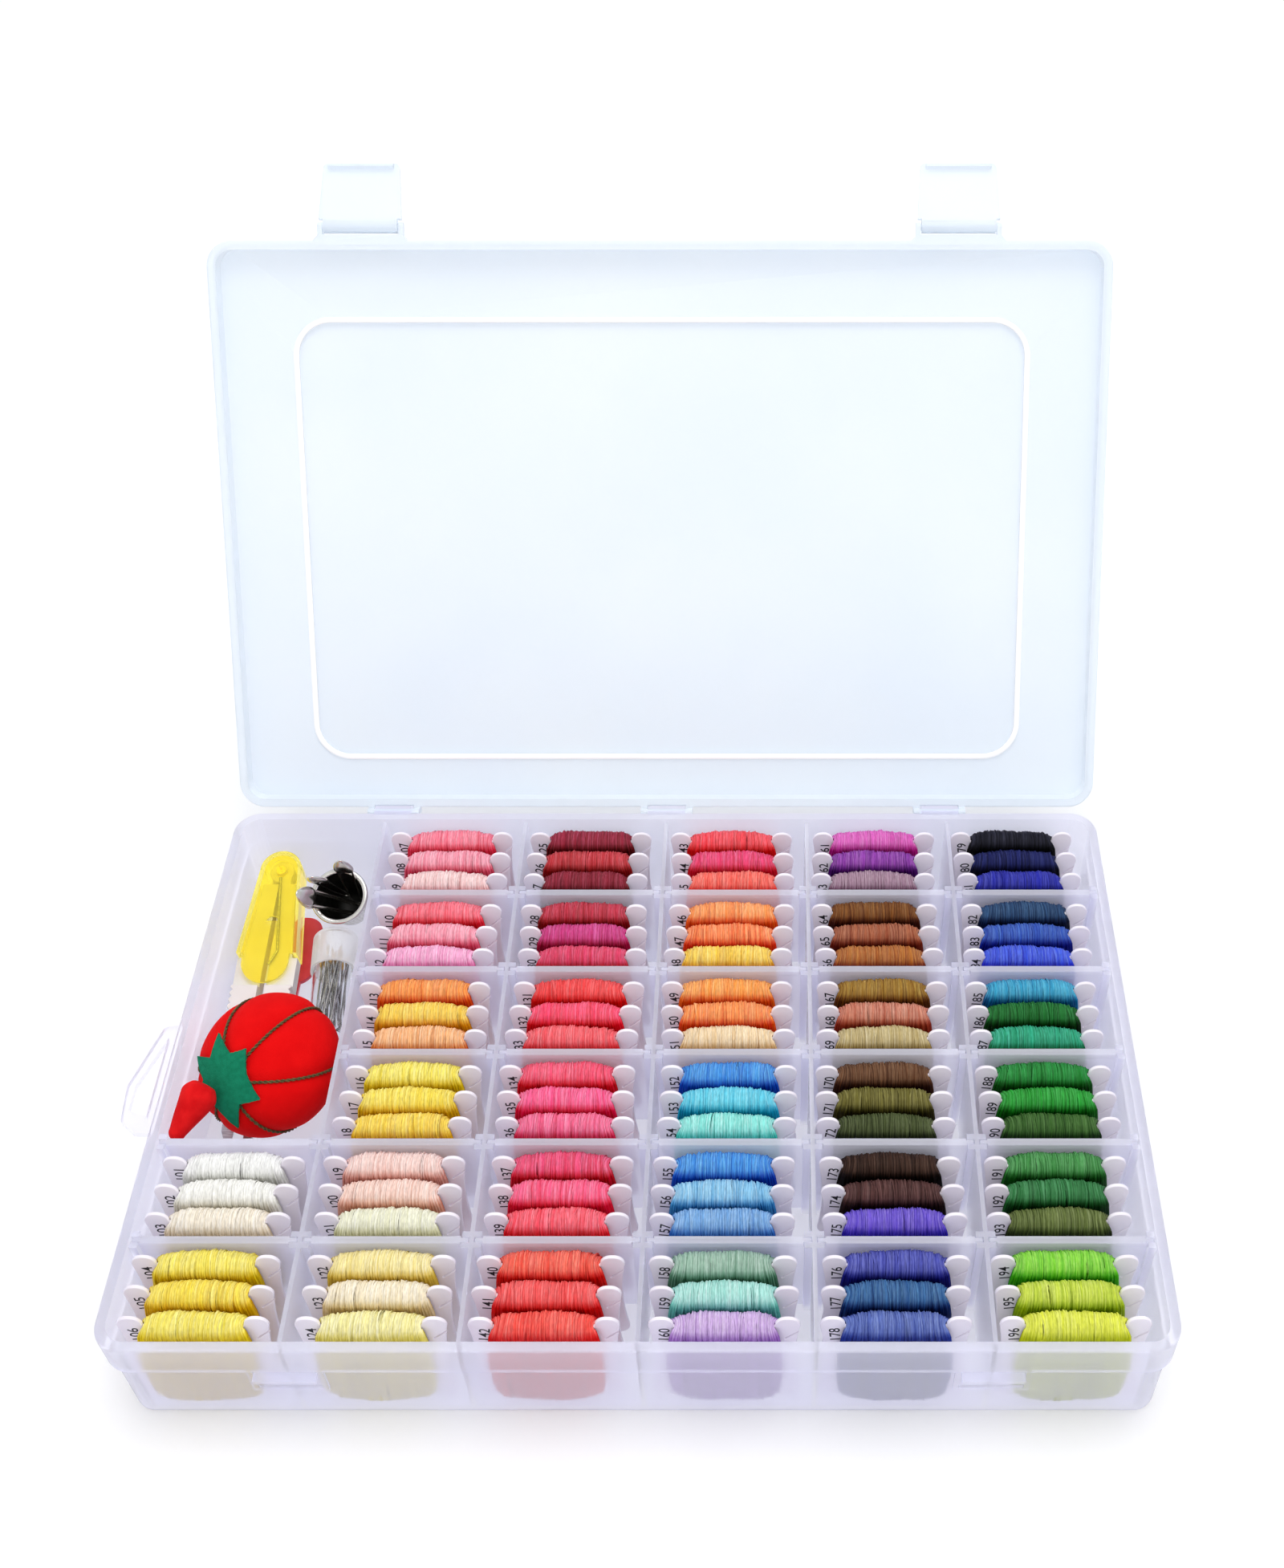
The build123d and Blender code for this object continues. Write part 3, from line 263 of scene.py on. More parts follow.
def weld(thing, distance):
    """Joins points that lie within a distance, in metres."""
    modifier = thing.modifiers.new("weld", "WELD")
    modifier.merge_threshold = distance


def arc(cx, cy, radius, start, end, count):
    """Points on an arc, from one angle in degrees to another."""
    return [(cx + radius * cos(radians(a)), cy + radius * sin(radians(a)))
            for a in np.linspace(start, end, count)]


def moved(points, matrix):
    """Points through a 4 x 4 matrix, in millimetres."""
    points = np.asarray(points, float)
    matrix = np.array(matrix)
    return points @ matrix[:3, :3].T + matrix[:3, 3]


def turn(axis, angle):
    return Matrix.Rotation(radians(angle), 4, axis)


def shift(x, y, z):
    return Matrix.Translation((x, y, z))


# ---------------------------------------- materials
def new_material(name, **values):
    """A Principled material; values are plain socket values."""
    material = bpy.data.materials.new(name)
    material.use_nodes = True
    tree = material.node_tree
    shader = tree.nodes["Principled BSDF"]
    for key, value in values.items():
        socket = shader.inputs[key.replace("_", " ")]
        socket.default_value = value
    return material, tree, shader


def mix_colour(tree, low, high, factor):
    """A colour between two plain ones, by a 0 to 1 output."""
    node = tree.nodes.new("ShaderNodeMix")
    node.data_type = "RGBA"
    node.inputs["A"].default_value = (*low, 1)
    node.inputs["B"].default_value = (*high, 1)
    tree.links.new(factor, node.inputs["Factor"])
    return node.outputs["Result"]


def noise(tree, scale, detail=3, stretch=(1, 1, 1)):
    """Noise over the object's own coordinates, in cycles per metre."""
    place = tree.nodes.new("ShaderNodeTexCoord")
    mapping = tree.nodes.new("ShaderNodeMapping")
    mapping.inputs["Scale"].default_value = stretch
    texture = tree.nodes.new("ShaderNodeTexNoise")
    texture.inputs["Scale"].default_value = scale
    texture.inputs["Detail"].default_value = detail
    tree.links.new(place.outputs["Object"], mapping.inputs["Vector"])
    tree.links.new(mapping.outputs["Vector"], texture.inputs["Vector"])
    return texture.outputs["Fac"]


def add_bump(tree, shader, height, distance, strength=0.5):
    """Bump from a 0 to 1 output, its depth in metres."""
    bump = tree.nodes.new("ShaderNodeBump")
    bump.inputs["Distance"].default_value = distance
    bump.inputs["Strength"].default_value = strength
    tree.links.new(height, bump.inputs["Height"])
    tree.links.new(bump.outputs["Normal"], shader.inputs["Normal"])


def spread(tree, value, low, high):
    """Stretches the middle of a noise to the whole 0 to 1 range."""
    node = tree.nodes.new("ShaderNodeMapRange")
    node.inputs["From Min"].default_value = low
    node.inputs["From Max"].default_value = high
    tree.links.new(value, node.inputs["Value"])
    return node.outputs["Result"]


def two_tone(name, low, high, scale, bump=None, stretch=(1, 1, 1), **values):
    """A material whose colour drifts between two close tones, with an optional fine bump."""
    material, tree, shader = new_material(name, **values)
    factor = spread(tree, noise(tree, scale, stretch=stretch), 0.35, 0.65)
    tree.links.new(mix_colour(tree, linear(low), linear(high), factor), shader.inputs["Base Color"])
    if bump:
        bump_scale, distance = bump
        add_bump(tree, shader, noise(tree, bump_scale), distance)
    return material


def frosted(name, low, high, clear, roughness, glow):
    """Frosted plastic; the faint glow stands for light that scatters inside the sheet."""
    return two_tone(name, low, high, 18, Roughness=roughness, Transmission_Weight=clear, IOR=1.12,
                    Emission_Color=(*linear(high), 1), Emission_Strength=glow)


tray_plastic = frosted("tray_plastic", (237, 237, 250), (242, 242, 252), 0.78, 0.36, 0.06)
lid_plastic = frosted("lid_plastic", (240, 247, 255), (243, 249, 255), 0.45, 0.35, 0.05)
divider_plastic = frosted("divider_plastic", (237, 237, 250), (242, 242, 252), 0.68, 0.3, 0.07)
# the cards' faint glow is painted light, lifting their faces out of the cells' shade
card_plastic = two_tone("card_plastic", (240, 233, 242), (246, 241, 249), 60, Roughness=0.35,
                        Emission_Color=(0.85, 0.8, 0.9, 1), Emission_Strength=0.06)
# the lid's raised line: white with a glow, a painted highlight along its ridge
lid_line_highlight = two_tone("lid_line_highlight", (252, 252, 255), (255, 255, 255), 60, Roughness=0.2,
                        Emission_Color=(1, 1, 1, 1), Emission_Strength=0.12)
ink = two_tone("ink", (14, 14, 18), (34, 34, 40), 900, Roughness=0.7)
# the cover's glow is painted light, for light that scatters through the yellow plastic
yellow_plastic = two_tone("yellow_plastic", (255, 241, 110), (255, 244, 128), 60, Roughness=0.04,
                          Transmission_Weight=0.96, IOR=1.3, Emission_Color=(1.0, 0.85, 0.1, 1),
                          Emission_Strength=0.08)
white_plastic = two_tone("white_plastic", (238, 234, 228), (246, 243, 238), 80, Roughness=0.4)
steel = two_tone("steel", (150, 150, 152), (188, 188, 190), 300, stretch=(1, 8, 8), Metallic=1.0,
                 Roughness=0.3)
nickel = two_tone("nickel", (206, 204, 199), (228, 226, 221), 200, Metallic=1.0, Roughness=0.2)
# the thimble's inside: painted shade and dark reflection, not a colour of the metal
thimble_inside_shade = two_tone("thimble_inside_shade", (20, 19, 17), (44, 42, 38), 500, Metallic=0.4, Roughness=0.4)
tube_plastic = two_tone("tube_plastic", (250, 251, 253), (253, 254, 255), 40, Roughness=0.03,
                        Transmission_Weight=1.0, IOR=1.28)
# the cap's glow is painted light, for light that scatters through the frosted cap
cap_plastic = two_tone("cap_plastic", (246, 246, 248), (250, 250, 252), 60, Roughness=0.3,
                       Transmission_Weight=0.75, IOR=1.12, Emission_Color=(1, 1, 1, 1),
                       Emission_Strength=0.08)
needle_steel = two_tone("needle_steel", (168, 166, 164), (206, 204, 200), 260, Metallic=1.0, Roughness=0.25)
needle_gold = two_tone("needle_gold", (196, 152, 84), (222, 184, 116), 260, Metallic=1.0, Roughness=0.3)
red_plastic = two_tone("red_plastic", (222, 52, 76), (234, 70, 94), 90, Roughness=0.3)
tomato_cloth = two_tone("tomato_cloth", (224, 3, 6), (232, 7, 9), 160, bump=(2600, 0.00015), Roughness=0.9,
                        Specular_IOR_Level=0.12)
strawberry_cloth = two_tone("strawberry_cloth", (212, 12, 18), (232, 26, 28), 220, bump=(2600, 0.00015),
                            Roughness=0.9, Specular_IOR_Level=0.12)
felt = two_tone("felt", (12, 116, 84), (20, 130, 96), 700, bump=(3500, 0.0002), Roughness=0.95,
                Specular_IOR_Level=0.15)
olive_cord = two_tone("olive_cord", (70, 62, 30), (108, 92, 52), 1200, bump=(4000, 0.0002), Roughness=0.85)


def thread_material():
    """The floss: each point's own colour with its painted shade and highlight, and fine streaks along the
    strands, partly fibre tone and partly painted glints.
    """
    material, tree, shader = new_material("floss", Roughness=0.6, Specular_IOR_Level=0.12)
    shade = tree.nodes.new("ShaderNodeAttribute")
    shade.attribute_name = "thread"
    factor = spread(tree, noise(tree, 2600, 2, (1, 0.25, 0.25)), 0.36, 0.64)
    darker = tree.nodes.new("ShaderNodeMix")
    darker.data_type = "RGBA"
    darker.blend_type = "MULTIPLY"
    darker.inputs["Factor"].default_value = 1.0
    tree.links.new(shade.outputs["Color"], darker.inputs["A"])
    tree.links.new(mix_colour(tree, (0.9, 0.9, 0.9), (1.12, 1.12, 1.12), factor), darker.inputs["B"])
    tree.links.new(darker.outputs["Result"], shader.inputs["Base Color"])
    add_bump(tree, shader, noise(tree, 4200, 2, (1, 0.1, 0.1)), 0.00025, 0.7)
    return material


floss = thread_material()


# ---------------------------------------- the CAD's own pieces
def dress(node, material, edge=0.0):
    """A CAD node shown as it is, with its edges a little rounded."""
    thing = nodes[node]
    thing.data.materials.clear()
    thing.data.materials.append(material)
    if edge:
        weld(thing, 0.000002)
        bevel = thing.modifiers.new("soft_edges", "BEVEL")
        bevel.width = edge * MM
        bevel.segments = 2
        bevel.limit_method = "ANGLE"
        bevel.angle_limit = radians(40)
        bevel.harden_normals = True


dress("base_tray", tray_plastic, 0.25)
dress("lid", lid_plastic, 0.25)
for side in ("left", "right"):
    dress("latch_" + side, lid_plastic, 0.25)
    dress("snips_handle_" + side, white_plastic, 0.3)
    dress("snips_blade_" + side, steel)
for column in range(2, column_count + 1):
    dress(f"dividers_column_{column}", divider_plastic, 0.3)
for row in (5, 6):
    dress(f"divider_behind_row_{row}", divider_plastic, 0.3)
dress("snips_cover", yellow_plastic, 0.35)
dress("snips_pivot", yellow_plastic)
dress("snips_spring", steel)
dress("needle_tube", tube_plastic)
dress("needle_tube_cap", cap_plastic, 0.25)
dress("safety_pin_wires", nickel)
dress("threader_handle", red_plastic, 0.25)
dress("threader_wire", steel)


# ---------------------------------------- bobbins
def wobble(seed):
    """A fixed value between -1 and 1 that looks random from one whole number to the next."""
    return sin(12.9898 * seed + 4.1)


def bobbin_matrix(column, row, index):
    """Where a bobbin stands, leaning back in its cell."""
    seed = index + bobbins_per_cell * (row + row_count * column)
    lean = card_lean + card_lean_spread * wobble(seed)
    left = -inner_width / 2 + (column - 1) * column_pitch
    x = left + card_gap_left + card_width / 2 + card_shift_spread * wobble(2 * seed + 1)
    middle_y = inner_depth / 2 - (row - 1) * row_pitch - first_bobbin_y - (index - 1) * bobbin_pitch
    reach = sin(radians(lean))
    foot_y = middle_y - card_height / 2 * reach
    foot_z = floor_top + card_foot_gap + card_thickness / 2 * reach
    return shift(x, foot_y, foot_z) @ turn("X", -lean)


def slit_outline():
    """The slit that holds a thread's end, from the ear's side inwards and down.

    Its (x, z) points with the lower lip first, the height of its mouth, and half the mouth's opening.
    """
    angle = radians(slit_angle)
    mouth_z = card_height - slit_drop
    lip = slit_width / 2 / cos(angle)
    inner_x = card_width / 2 - slit_length * cos(angle)
    inner_z = mouth_z - slit_length * sin(angle)
    lips = [(inner_x, inner_z - lip), (inner_x - lip, inner_z - lip / 3), (inner_x, inner_z + lip)]
    return lips, mouth_z, lip


def card_outline():
    """The card's edge as (x, z) points, anticlockwise from the lower left ear."""
    half, high = card_width / 2, card_height
    r = ear_round
    notch = notch_width / 2
    middle = card_height / 2
    run = middle - r
    waist_radius = (run ** 2 + waist ** 2) / (2 * waist)
    sweep = degrees(asin(run / waist_radius))
    points = arc(-half + r, r, r, 180, 270, 8) + arc(-notch - r, r, r, 270, 360, 8)
    points += [(-notch, notch_depth), (notch, notch_depth)]
    points += arc(notch + r, r, r, 180, 270, 8) + arc(half - r, r, r, 270, 360, 8)
    side = arc(half - waist + waist_radius, middle, waist_radius, 180 + sweep, 180 - sweep, 25)[1:-1]
    slit, mouth_z, lip = slit_outline()
    edge_x = float(np.interp(mouth_z, [z for x, z in side], [x for x, z in side]))
    points += [p for p in side if p[1] < mouth_z - 2 * lip]
    points += [(edge_x, mouth_z - lip), *slit, (edge_x, mouth_z + lip)]
    points += [p for p in side if p[1] > mouth_z + 2 * lip]
    points += arc(half - r, high - r, r, 0, 90, 8) + arc(notch + r, high - r, r, 90, 180, 8)
    points += [(notch, high - notch_depth), (-notch, high - notch_depth)]
    points += arc(-notch - r, high - r, r, 0, 90, 8) + arc(-half + r, high - r, r, 90, 180, 8)
    points += arc(-half + waist - waist_radius, middle, waist_radius, sweep, -sweep, 14)[1:-1]
    return points


def curve_mesh(curve):
    """Points and faces of a curve drawn flat, stood up in the XZ plane; the curve itself is deleted."""
    thing = linked(curve.name, curve)
    mesh = bpy.data.meshes.new_from_object(thing.evaluated_get(bpy.context.evaluated_depsgraph_get()))
    points = np.zeros(len(mesh.vertices) * 3)
    mesh.vertices.foreach_get("co", points)
    points = points.reshape(-1, 3)
    faces = [tuple(p.vertices) for p in mesh.polygons]
    bpy.data.objects.remove(thing)
    bpy.data.curves.remove(curve)
    bpy.data.meshes.remove(mesh)
    return np.stack([points[:, 0], -points[:, 2], points[:, 1]], 1), faces


def filled_plate(outline, thickness, edge):
    """Points and faces of a flat plate with rounded edges."""
    curve = bpy.data.curves.new("outline", "CURVE")
    curve.dimensions = "2D"
    curve.fill_mode = "BOTH"
    curve.extrude = thickness / 2 - edge
    curve.bevel_depth = edge
    curve.bevel_resolution = 2
    curve.offset = -edge
    line = curve.splines.new("POLY")
    line.points.add(len(outline) - 1)
    line.points.foreach_set("co", [v for x, y in outline for v in (x, y, 0, 1)])
    line.use_cyclic_u = True
    return curve_mesh(curve)


def number_mesh(number, size):
    """Points and faces of a number's digits, flat and centred."""
    curve = bpy.data.curves.new("number", "FONT")
    curve.body = str(number)
    curve.size = size
    curve.extrude = 0.012
    curve.offset = 0.03
    curve.align_x = "CENTER"
    curve.align_y = "CENTER"
    return curve_mesh(curve)


card_points, card_faces = filled_plate(card_outline(), card_thickness, card_edge)


# ---------------------------------------- windings
strand_count, steps_per_strand = 54, 3
step_count = strand_count * steps_per_strand
# for each step from the card's left to its right: its strand, its place from -1 to 1, and how near
# it is to the strand's crest, from 0 to 1
steps = np.arange(step_count + 1)
strand = np.minimum(steps // steps_per_strand, strand_count - 1)
across = steps / step_count * 2 - 1
crest = np.sqrt(np.clip(1 - (2 * (steps % steps_per_strand / steps_per_strand) - 1) ** 2, 0, 1))


def slot_loop():
    """The winding's section, a tall slot: y, z, outward y, outward z, from the bottom front upward."""
    end_points, flat_points = 9, 5
    radius = winding_thickness / 2
    reach = winding_height / 2 - radius
    middle = card_height / 2
    loop = []
    for side in (-1, 1):
        for t in np.linspace(side, -side, flat_points + 2)[1:-1]:
            loop.append((side * radius, middle + t * reach, side, 0))
        for a in np.linspace(90 - 90 * side, -90 - 90 * side, end_points):
            c, s = cos(radians(a)), sin(radians(a))
            loop.append((radius * c, middle - side * reach + radius * s, c, s))
    return np.array(loop).T


loop_y, loop_z, outward_y, outward_z = slot_loop()
winding_faces = grid_faces(step_count + 3, len(loop_y))


def across_at(share, z):
    """Where a strand lies across the card: straight down in the middle, spread out at the sides."""
    straight_share, flare_width, flare_length, notch_gap = 0.6, 2.3, 4.5, 0.25
    from_end = winding_height / 2 - np.abs(z - card_height / 2)
    flare = flare_width * (1 - np.exp(-np.maximum(from_end, 0) / flare_length))
    outer = np.clip((np.abs(share) - straight_share) / (1 - straight_share), 0, 1) ** 1.5
    return share * (notch_width / 2 - notch_gap) + np.sign(share) * outer * flare


def drift(rng, size):
    """A smooth random wave round the loop, one row per strand."""
    phase = np.linspace(0, 2 * pi, len(loop_y), endpoint=False)
    a, b, c, d = (rng.normal(size=(strand_count, 1)) for _ in range(4))
    return size * (a * np.cos(phase) + b * np.sin(phase)
                   + 0.6 * c * np.cos(2 * phase) + 0.6 * d * np.sin(3 * phase))


def winding_points(rng):
    """The points of one skein wound on a card, a loop for each step across it."""
    lift_wave, sway_wave, lump_height, crown_height, crown_fall = 0.09, 0.26, 0.25, 0.55, 1.9
    side_share, side_sink, flat_sink, side_room = 0.82, 0.8, 0.5, 1 / 6
    card_inside, end_inside = 0.9, 0.5
    lift = drift(rng, lift_wave) + rng.uniform(-0.12, 0.10, (strand_count, 1))
    sway = drift(rng, sway_wave)
    valley = rng.uniform(0.14, 0.34, strand_count)
    lump = lump_height * np.sin(across * rng.uniform(3, 6) + rng.uniform(0, 6))
    crown = crown_height + lump - crown_fall * np.abs(across) ** 4
    side = np.clip((np.abs(across) - side_share) / (1 - side_share), 0, 1)
    # how far the loop faces up or down: 1 at its two ends, 0 along its flats
    endness = np.abs(outward_z)[None]
    out = lift[strand] - (valley[strand] * (1 - crest))[:, None] - side_sink * (side ** 2)[:, None]
    out = out + crown[:, None] * endness - flat_sink * (np.abs(across) ** 3)[:, None] * (1 - endness)
    room = np.clip((1 - np.abs(across)) / side_room, 0, 1)
    x = across_at(across[:, None], loop_z[None]) + sway[strand] * room[:, None]
    body = np.stack([x, loop_y[None] + out * outward_y[None], loop_z[None] + out * outward_z[None]], 2)
    # a last loop on either side, pulled in against the card
    middle, inner_reach = card_height / 2, card_height / 2 - notch_depth
    inner_y = np.clip(loop_y, -card_inside, card_inside)
    inner_z = middle + np.clip(loop_z - middle, -inner_reach, inner_reach)
    left = np.stack([body[0, :, 0] + end_inside, inner_y, inner_z], 1)[None]
    right = np.stack([body[-1, :, 0] - end_inside, inner_y, inner_z], 1)[None]
    return np.concatenate([left, body, right]).reshape(-1, 3)


def winding_colours(rng, shade):
    """One colour per point: painted shade deepens it between strands and low down, and a painted highlight
    pales it where a strand turns over the top.
    """
    tone_spread, side_light, deepest, palest = 0.07, 0.6, 0.4, 1.12
    gleam_start, gleam_range = 0.12, 0.62
    tone = 1 + rng.normal(size=strand_count) * tone_spread
    # painted shade in the gaps between strands: each strand's darkest value away from its crest
    valley = rng.uniform(0.55, 0.98, strand_count)[strand]
    light = np.clip((valley + (1 - valley) * crest) * tone[strand], deepest, palest)
    # the loops pulled in against the card take a fixed darker value, painted shade where the winding tucks in
    light = np.concatenate([[side_light], light, [side_light]])[:, None, None]
    # how far each point faces up: the top takes a painted highlight, the front and lower side take painted
    # shade
    above = np.clip((outward_z - gleam_start) / gleam_range, 0, 1) ** 1.2
    paleness = 0.22 + 0.78 * sqrt(sum(shade) / 3)
    gleam = rng.uniform(0.45, 1.0, strand_count)[strand] * (0.55 + 0.45 * crest) * paleness
    gleam = np.concatenate([[0.0], gleam, [0.0]])[:, None] * above[None]
    gleam = gleam * rng.uniform(0.7, 1.15, gleam.shape)
    # painted shade: the colour grows deeper and darker away from the top
    shaded_colour = (np.array(shade)[None] ** (1 + 0.7 * (1 - above))[:, None])[None]
    base = shaded_colour ** (1 + 1.1 * (1 - light)) * (0.5 + 0.5 * light) * (0.8 + 0.2 * above)[None, :, None]
    # the painted highlight's colour, paler than the thread's own
    bright = 0.72 * np.sqrt(np.clip(base, 0, 1)) + 0.27 * max(shade)
    colours = base + gleam[:, :, None] * (bright - base)
    return np.clip(colours, 0, 1).reshape(-1, 3)


def number_place(number):
    """Where a card's number stands: near its upper left corner, read upwards and a little askew."""
    from_left, from_top, raised, askew = 4.1, 7.0, 0.004, 7
    corner = shift(-card_width / 2 + from_left, -card_thickness / 2 - raised, card_height - from_top)
    return corner @ turn("Y", -90 + askew * wobble(number))


def fill_bobbins():
    """Every cell's three bobbins; the front one of each column is a body of its own."""
    rng = np.random.default_rng(11)
    number = first_number
    for column in range(1, column_count + 1):
        cards, threads, digits = Pile(), Pile(), Pile()
        for row in range(bay_row_count + 1 if column == 1 else 1, row_count + 1):
            for index in range(1, bobbins_per_cell + 1):
                matrix = bobbin_matrix(column, row, index)
                shade = vivid(SHADES[CELLS[column, row][index - 1]])
                thread_points = winding_points(rng)
                thread_colours = winding_colours(rng, shade)
                digit_points, digit_faces = number_mesh(number, number_size)
                digit_points = moved(digit_points, number_place(number))
                number += 1
                alone = row == row_count and index == bobbins_per_cell
                piles = (Pile(), Pile(), Pile()) if alone else (cards, threads, digits)
                piles[0].add(moved(card_points, matrix), card_faces)
                piles[1].add(moved(thread_points, matrix), winding_faces, thread_colours)
                piles[2].add(moved(digit_points, matrix), digit_faces)
                if alone:
                    show(piles, f"front_card_{column}", f"front_floss_{column}", f"front_number_{column}",
                         f"front_bobbin_{column}", f"front_bobbin_card_{column}",
                         f"front_thread_winding_{column}")
        show((cards, threads, digits), f"cards_{column}", f"floss_{column}", f"numbers_{column}", "base",
             f"bobbin_cards_column_{column}", f"thread_windings_column_{column}")


def show(piles, card_name, floss_name, number_name, body, card_node, thread_node):
    """The pieces for piles of cards, windings and numbers that move together."""
    card = piles[0].build(card_name, card_plastic)
    card.data.set_sharp_from_angle(angle=radians(50))
    coil = piles[1].build(floss_name, floss)
    digits = piles[2].build(number_name, ink, smooth=False)
    for thing in (card, coil, digits):
        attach(thing, body)
    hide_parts(card_node)
    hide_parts(thread_node)


fill_bobbins()


# ---------------------------------------- thimble, pins, needles and the lid's line
bay_left, bay_back = -inner_width / 2, inner_depth / 2
bay_right = bay_left + cell_width

thimble_end, thimble_rim, thimble_height, thimble_tilt = 6.3, 8.6, 19.5, 27.0
thimble_from_right, thimble_from_back, thimble_gap = 13.6, 3.6, 0.3
thimble_foot = (bay_right - thimble_from_right,
                bay_back - thimble_from_back - thimble_end * cos(radians(thimble_tilt)),
                floor_top + thimble_end * sin(radians(thimble_tilt)) + thimble_gap)
thimble_place = shift(*thimble_foot) @ turn("X", thimble_tilt)
# each pin's foot in the thimble, then its lean, the lean's direction and the turn about its own length
PINS = [(4.0, -1.8, 3.0, -30, 0, 90), (4.7, -1.8, 6.8, -30, 0, 90), (-1.0, 3.5, 3.0, -10, 0, 0),
        (2.5, 1.0, 3.5, 15, 90, -90)]


def make_pin_caps():
    """Pressed caps, rounded like a drop and folded in between the pin's two arms."""
    half_width, half_thickness, height, top = 3.15, 1.0, 8.4, 30.0
    fold_share, fold_depth, fold_width = 0.6, 0.85, 0.95
    rows, columns = 26, 56
    pile = Pile()
    for x0, y0, z0, lean, around, own_turn in PINS:
        points = []
        for r in range(rows):
            share = r / (rows - 1)
            swell = sin(pi * min(0.995, max(0.005, share)) ** 0.62) ** 0.5
            fold = max(0.0, 1 - share / fold_share)
            for c in range(columns):
                angle = 2 * pi * c / columns
                x = half_width * swell * cos(angle)
                dent = 1 - fold_depth * fold * exp(-((x / fold_width) ** 2))
                boxy = copysign(abs(sin(angle)) ** 0.8, sin(angle))
                points.append((x, half_thickness * swell * boxy * dent, top - height * (1 - share)))
        faces = grid_faces(rows, columns) + end_faces(rows, columns)
        place = thimble_place @ shift(x0, y0, z0) @ turn("Z", around) @ turn("Y", lean) @ turn("Z", own_turn)
        pile.add(moved(points, place), faces)
    caps = pile.build("pin_caps", nickel)
    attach(caps, "thimble")
    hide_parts("safety_pin_caps")


def make_thimble():
    """A turned cup with rings of small dimples, a rolled rim and a dark inside: a dark cup of painted shade
    and painted reflection.
    """
    wall, sides, wall_rows, roll_points = 0.6, 120, 60, 16
    profile = [(0.01, 0.0), (3.9, 0.0), (4.9, 0.3), (5.7, 1.0), (6.2, 2.0)]
    profile += [(6.2 + (thimble_rim - 6.3) * k / wall_rows, 2.4 + (thimble_height - 3.2) * k / wall_rows)
                for k in range(wall_rows + 1)]
    points, faces = lathe(profile, sides)
    dimples_low, dimples_high, first_ring, dimples_round = 3.0, thimble_height - 4.0, 3.5, 40
    dimple_depth, dimple_width = 0.18, 0.28
    for i, (x, y, z) in enumerate(points):
        ring = z - first_ring
        around = atan2(y, x) / (2 * pi) * dimples_round + 0.5 * (round(ring) % 2)
        ring_off, around_off = ring - round(ring), around - round(around)
        dent = exp(-((ring_off / dimple_width) ** 2 + (around_off / dimple_width) ** 2))
        if dimples_low < z < dimples_high:
            points[i, :2] *= 1 - dimple_depth * dent / hypot(x, y)
    pile = Pile()
    pile.add(moved(points, thimble_place), faces)
    roll = [(thimble_rim - 0.3 + 0.85 * cos(a), thimble_height + 0.55 * sin(a))
            for a in np.linspace(0, 2 * pi, roll_points, endpoint=False)]
    rolled, _ = lathe(roll, sides)
    pile.add(moved(rolled, thimble_place), grid_faces(roll_points, sides, wrap_rows=True))
    cup = pile.build("thimble_shell", nickel)
    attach(cup, "thimble")
    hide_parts("thimble")
    # a dark sheet just inside the wall, painted shade and dark reflection in the cup's hollow
    inner = [(thimble_rim - wall, thimble_height), (thimble_end - wall, 2.6), (thimble_end - 2.4, wall),
             (0.01, wall)]
    points, faces = lathe(inner, 96)
    shade_cup = new_object("thimble_shade_cup", moved(points, thimble_place), faces, thimble_inside_shade)
    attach(shade_cup, "thimble")


def make_needles():
    """A loose bundle of hand needles, eyes at the cap and points at the tube's far end."""
    rng = np.random.default_rng(23)
    cap_back, cap_radius, yaw, cap_shift = bay_back - 25.0, 7.1, 6.0, 0.65
    needle_count, bundle_radius, flatness, sag, sides = 34, 5.1, 0.7, 0.9, 8
    # along a needle, from its eye to its point: share of its length and radius
    profile = [(0, 0.14), (0.04, 0.36), (0.08, 0.38), (0.14, 0.32), (0.6, 0.32), (0.9, 0.22), (1.0, 0.05)]
    radius = np.array([thickness for _, thickness in profile])
    eye_rows, gilding = 4, 0.02
    low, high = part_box("needle_tube_cap")
    cap_x = (low[0] + high[0]) / 2 / MM - cap_shift
    place = shift(cap_x, cap_back, floor_top + cap_radius) @ turn("Z", yaw)
    shanks, eyes = Pile(), Pile()
    for _ in range(needle_count):
        ends = []
        for _ in range(2):
            reach = bundle_radius * sqrt(rng.uniform(0, 1))
            angle = rng.uniform(0, 2 * pi)
            ends.append((reach * cos(angle), reach * sin(angle) * flatness - sag))
        # the eye lies 3 to 7 in from the cap's back, and the needle is 28 to 33 long
        start, length = -3.0 - rng.uniform(0, 4), rng.uniform(28, 33)
        (eye_x, eye_z), (point_x, point_z) = ends
        path = [(eye_x * (1 - t) + point_x * t, start - length * t, eye_z * (1 - t) + point_z * t)
                for t, _ in profile]
        points, faces = tube(path, radius, sides)
        shanks.add(moved(points, place), faces)
        points, faces = tube(path[:eye_rows], radius[:eye_rows] + gilding, sides)
        eyes.add(moved(points, place), faces)
    bundle = shanks.build("needle_bundle", needle_steel)
    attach(bundle, "base")
    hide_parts("needles")
    heads = eyes.build("needle_eyes", needle_gold)
    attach(heads, "base")


